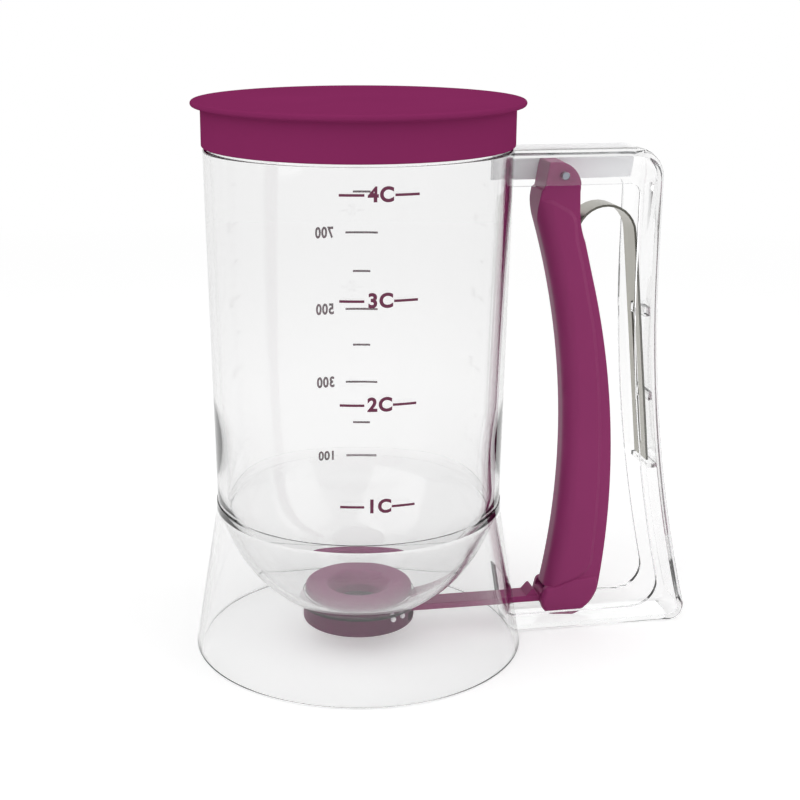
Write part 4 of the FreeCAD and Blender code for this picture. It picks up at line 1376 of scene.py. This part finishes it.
@dataclass
class PrintedScale:
    """The plum scale: cups on the front wall, and millilitres on the back wall."""

    shape: CupShape
    line_t: float = 0.8
    fine_t: float = 0.75
    word_h: float = 4.4
    number_h: float = 3.9
    number_squeeze: float = 0.8
    ink_t: float = 0.03
    stand_off: float = 0.03
    letter_share: float = 0.72
    letter_spacing: float = 1.12
    letter_weight: float = 0.055
    cup_zs: tuple[float, ...] = (66.0, 99.4, 132.2, 164.3)
    cup_azimuth: float = -92.3
    cup_line_azimuths: Span = (-102.3, -83.2)
    cup_line: float = 7.6
    ml_zs: tuple[float, ...] = (49.2, 64.6, 80.2, 94.4, 107.9, 122.0, 136.2, 151.0)
    ml_azimuth: float = 78.6
    ml_word_azimuth: float = 94.8
    ml_line: float = 12.2
    ml_tick: float = 6.6

    def marks(self) -> list[Mark]:
        """Every line and word of the two scales."""
        found: list[Mark] = []
        for count, z in enumerate(self.cup_zs, start=1):
            found.append(Mark(Wall.FRONT, self.cup_azimuth, z, word=f"{count}C"))
            found += [Mark(Wall.FRONT, azimuth, z, self.cup_line) for azimuth in self.cup_line_azimuths]
        for hundred, z in enumerate(self.ml_zs, start=1):
            odd = hundred % 2 == 1
            found.append(Mark(Wall.BACK, self.ml_azimuth, z, self.ml_line if odd else self.ml_tick))
            if odd:
                found.append(Mark(Wall.BACK, self.ml_word_azimuth, z, word=str(100 * hundred)))
        return found

    def flat_line(self, mark: Mark) -> bpy.types.Object:
        """A printed line, flat, as a grid fine enough to be wrapped."""
        clear_selection()
        bpy.ops.mesh.primitive_grid_add(x_subdivisions=16, y_subdivisions=1, size=1.0, location=(0, 0, 0))
        obj = bpy.context.object
        start_editing(obj)
        thick = self.line_t if mark.wall is Wall.FRONT else self.fine_t
        bpy.ops.transform.resize(value=(mark.length * MM, thick * MM, 1.0))
        stop_editing()
        return obj

    def flat_word(self, mark: Mark) -> bpy.types.Object:
        """A printed word, flat, centred and turned to a mesh."""
        clear_selection()
        bpy.ops.object.text_add(location=(0, 0, 0))
        obj = bpy.context.object
        height = self.word_h if mark.wall is Wall.FRONT else self.number_h
        obj.data.body = mark.word
        obj.data.size = height * MM / self.letter_share
        obj.data.align_x = "CENTER"
        obj.data.align_y = "CENTER"
        obj.data.space_character = self.letter_spacing
        obj.data.offset = self.letter_weight * height * MM
        bpy.ops.object.convert(target="MESH")
        obj = bpy.context.object
        if mark.wall is Wall.BACK:
            start_editing(obj)
            bpy.ops.transform.resize(value=(self.number_squeeze, 1.0, 1.0))
            stop_editing()
        return obj

    def wrap(self, obj: bpy.types.Object, mark: Mark) -> None:
        """Lay a flat mark round the wall, facing outwards.

        Args:
            obj: the mark, flat in the XY plane, with its middle at the origin.
            mark: where it goes.
        """
        for vertex in obj.data.vertices:
            z = mark.z + vertex.co.y / MM
            radius = self.shape.outer_r(z) + self.stand_off
            angle = math.radians(mark.azimuth) + vertex.co.x / MM / radius
            vertex.co = Vector((radius * math.cos(angle), radius * math.sin(angle), z)) * MM

    def build(self, dresser: Dresser, finishes: Finishes) -> None:
        """Print both scales, one piece to a wall."""
        for wall in Wall:
            drawn = []
            for mark in self.marks():
                if mark.wall is not wall:
                    continue
                obj = self.flat_word(mark) if mark.word else self.flat_line(mark)
                self.wrap(obj, mark)
                drawn.append(obj)
            clear_selection()
            for obj in drawn:
                obj.select_set(True)
            bpy.context.view_layer.objects.active = drawn[0]
            bpy.ops.object.join()
            scale = bpy.context.object
            scale.name = f"scale_{wall.value}"
            scale.data.name = scale.name
            layer = scale.modifiers.new("ink", "SOLIDIFY")
            layer.thickness = self.ink_t * MM
            layer.offset = 1.0
            take(scale)
            bpy.ops.object.modifier_apply(modifier=layer.name)
            dresser.piece(scale, "cup", finishes.ink, "plum_plastic")


@dataclass
class Studio:
    """The pale floor, the soft lamps, the backdrop and the camera."""

    floor_size: float = 12.0
    floor_colour: str = "#F4F4F4"
    fade: Span = (0.25, 0.9)
    ambient: float = 0.45
    glow: float = 0.32
    camera_at: tuple[float, float, float] = (-86.1, -488.5, 231.0)
    camera_pitch: float = 16.2
    camera_yaw: float = -10.0
    lens_mm: float = 68.2
    sensor_mm: float = 36.0
    shift_x: float = 0.0518
    lamp_aim: tuple[float, float, float] = (0.02, 0.0, 0.09)

    def background_share(self, tree: bpy.types.NodeTree) -> bpy.types.NodeSocket:
        """A socket that is 1 for rays that should see the white background."""
        ray = add_node(tree, "ShaderNodeLightPath")
        seen = add_node(tree, "ShaderNodeMath", {
            0: ray.outputs["Is Camera Ray"], 1: ray.outputs["Is Glossy Ray"]}, operation="MAXIMUM")
        both = add_node(tree, "ShaderNodeMath", {
            0: seen.outputs[0], 1: ray.outputs["Is Transmission Ray"]}, operation="MAXIMUM")
        return both.outputs[0]

    def floor(self) -> None:
        """A plain pale floor that keeps the object's shadow and fades to the backdrop's white."""
        clear_selection()
        bpy.ops.mesh.primitive_plane_add(size=self.floor_size, location=(0, 0, 0))
        floor = bpy.context.object
        floor.name = "floor"
        material = blank_material("pale_paper_sweep")
        tree = material.node_tree
        share = self.background_share(tree)
        paper = add_node(tree, "ShaderNodeBsdfDiffuse", {"Color": linear(self.floor_colour)})
        strength = add_node(tree, "ShaderNodeMath", {0: share, 1: self.glow}, operation="MULTIPLY")
        glow = add_node(tree, "ShaderNodeEmission", {"Color": (1, 1, 1, 1), "Strength": strength.outputs[0]})
        both = add_node(tree, "ShaderNodeAddShader", {0: paper.outputs["BSDF"], 1: glow.outputs["Emission"]})
        place = add_node(tree, "ShaderNodeTexCoord")
        distance = add_node(tree, "ShaderNodeVectorMath", {0: place.outputs["Object"]}, operation="LENGTH")
        far = add_node(tree, "ShaderNodeMapRange", {
            "Value": distance.outputs["Value"], "From Min": self.fade[0], "From Max": self.fade[1]})
        far_seen = add_node(tree, "ShaderNodeMath", {
            0: far.outputs["Result"], 1: share}, operation="MULTIPLY")
        white = add_node(tree, "ShaderNodeEmission", {"Color": (1, 1, 1, 1), "Strength": 1.0})
        sweep = add_node(tree, "ShaderNodeMixShader", {
            0: far_seen.outputs[0], 1: both.outputs["Shader"], 2: white.outputs["Emission"]})
        add_node(tree, "ShaderNodeOutputMaterial", {"Surface": sweep.outputs["Shader"]})
        dress(floor, material)

    def backdrop(self) -> None:
        """A white world for what is seen, and a softer one for what lights the object."""
        world = bpy.data.worlds.new("backdrop")
        bpy.context.scene.world = world
        world.use_nodes = True
        tree = world.node_tree
        tree.nodes.clear()
        share = self.background_share(tree)
        soft = add_node(tree, "ShaderNodeBackground", {"Color": (1, 1, 1, 1), "Strength": self.ambient})
        white = add_node(tree, "ShaderNodeBackground", {"Color": (1, 1, 1, 1), "Strength": 1.0})
        mixed = add_node(tree, "ShaderNodeMixShader", {
            0: share, 1: soft.outputs["Background"], 2: white.outputs["Background"]})
        add_node(tree, "ShaderNodeOutputWorld", {"Surface": mixed.outputs["Shader"]})

    def lamp(self, name: str, place: tuple[float, float, float], size: Span, watts: float) -> None:
        """A soft box that faces the middle of the object.

        Args:
            name: its name.
            place: where it stands, in metres.
            size: its width and height in metres.
            watts: its power.
        """
        light = bpy.data.lights.new(name, "AREA")
        light.shape = "RECTANGLE"
        light.size, light.size_y = size
        light.energy = watts
        obj = bpy.data.objects.new(name, light)
        bpy.context.scene.collection.objects.link(obj)
        obj.location = place
        aim = Vector(self.lamp_aim) - obj.location
        obj.rotation_euler = aim.to_track_quat("-Z", "Y").to_euler()

    def camera(self) -> None:
        """The camera at the photograph's viewpoint."""
        data = bpy.data.cameras.new("camera")
        data.lens = self.lens_mm
        data.sensor_width = self.sensor_mm
        data.shift_x = self.shift_x
        obj = bpy.data.objects.new("camera", data)
        bpy.context.scene.collection.objects.link(obj)
        obj.location = Vector(self.camera_at) * MM
        obj.rotation_euler = (math.radians(90 - self.camera_pitch), 0, math.radians(self.camera_yaw))
        bpy.context.scene.camera = obj

    def build(self) -> None:
        """Set up the whole studio."""
        self.floor()
        self.backdrop()
        self.lamp("key_left", (-0.9, -0.7, 0.9), (1.5, 1.4), 7.0)
        self.lamp("fill_right", (1.0, -0.6, 0.6), (1.2, 1.4), 4.5)
        self.lamp("top", (0.0, 0.1, 1.3), (1.4, 1.4), 4.5)
        self.camera()
        bpy.context.scene.view_settings.view_transform = "Standard"


def main() -> None:
    """Build every piece over the frame."""
    logging.basicConfig(level=logging.INFO, format="%(message)s")
    studio = Studio()
    studio.build()
    dresser = Dresser(frame["nodes"])
    finishes = Finishes()
    shape = CupShape()
    assemblies = (
        MeasuringCup(shape),
        PushOnLid(shape),
        ChannelHandle(shape),
        SqueezeLever(),
        ReturnSpring(),
        GateValve(),
        PrintedScale(shape),
    )
    for assembly in assemblies:
        assembly.build(dresser, finishes)


if __name__ == "__main__":
    main()
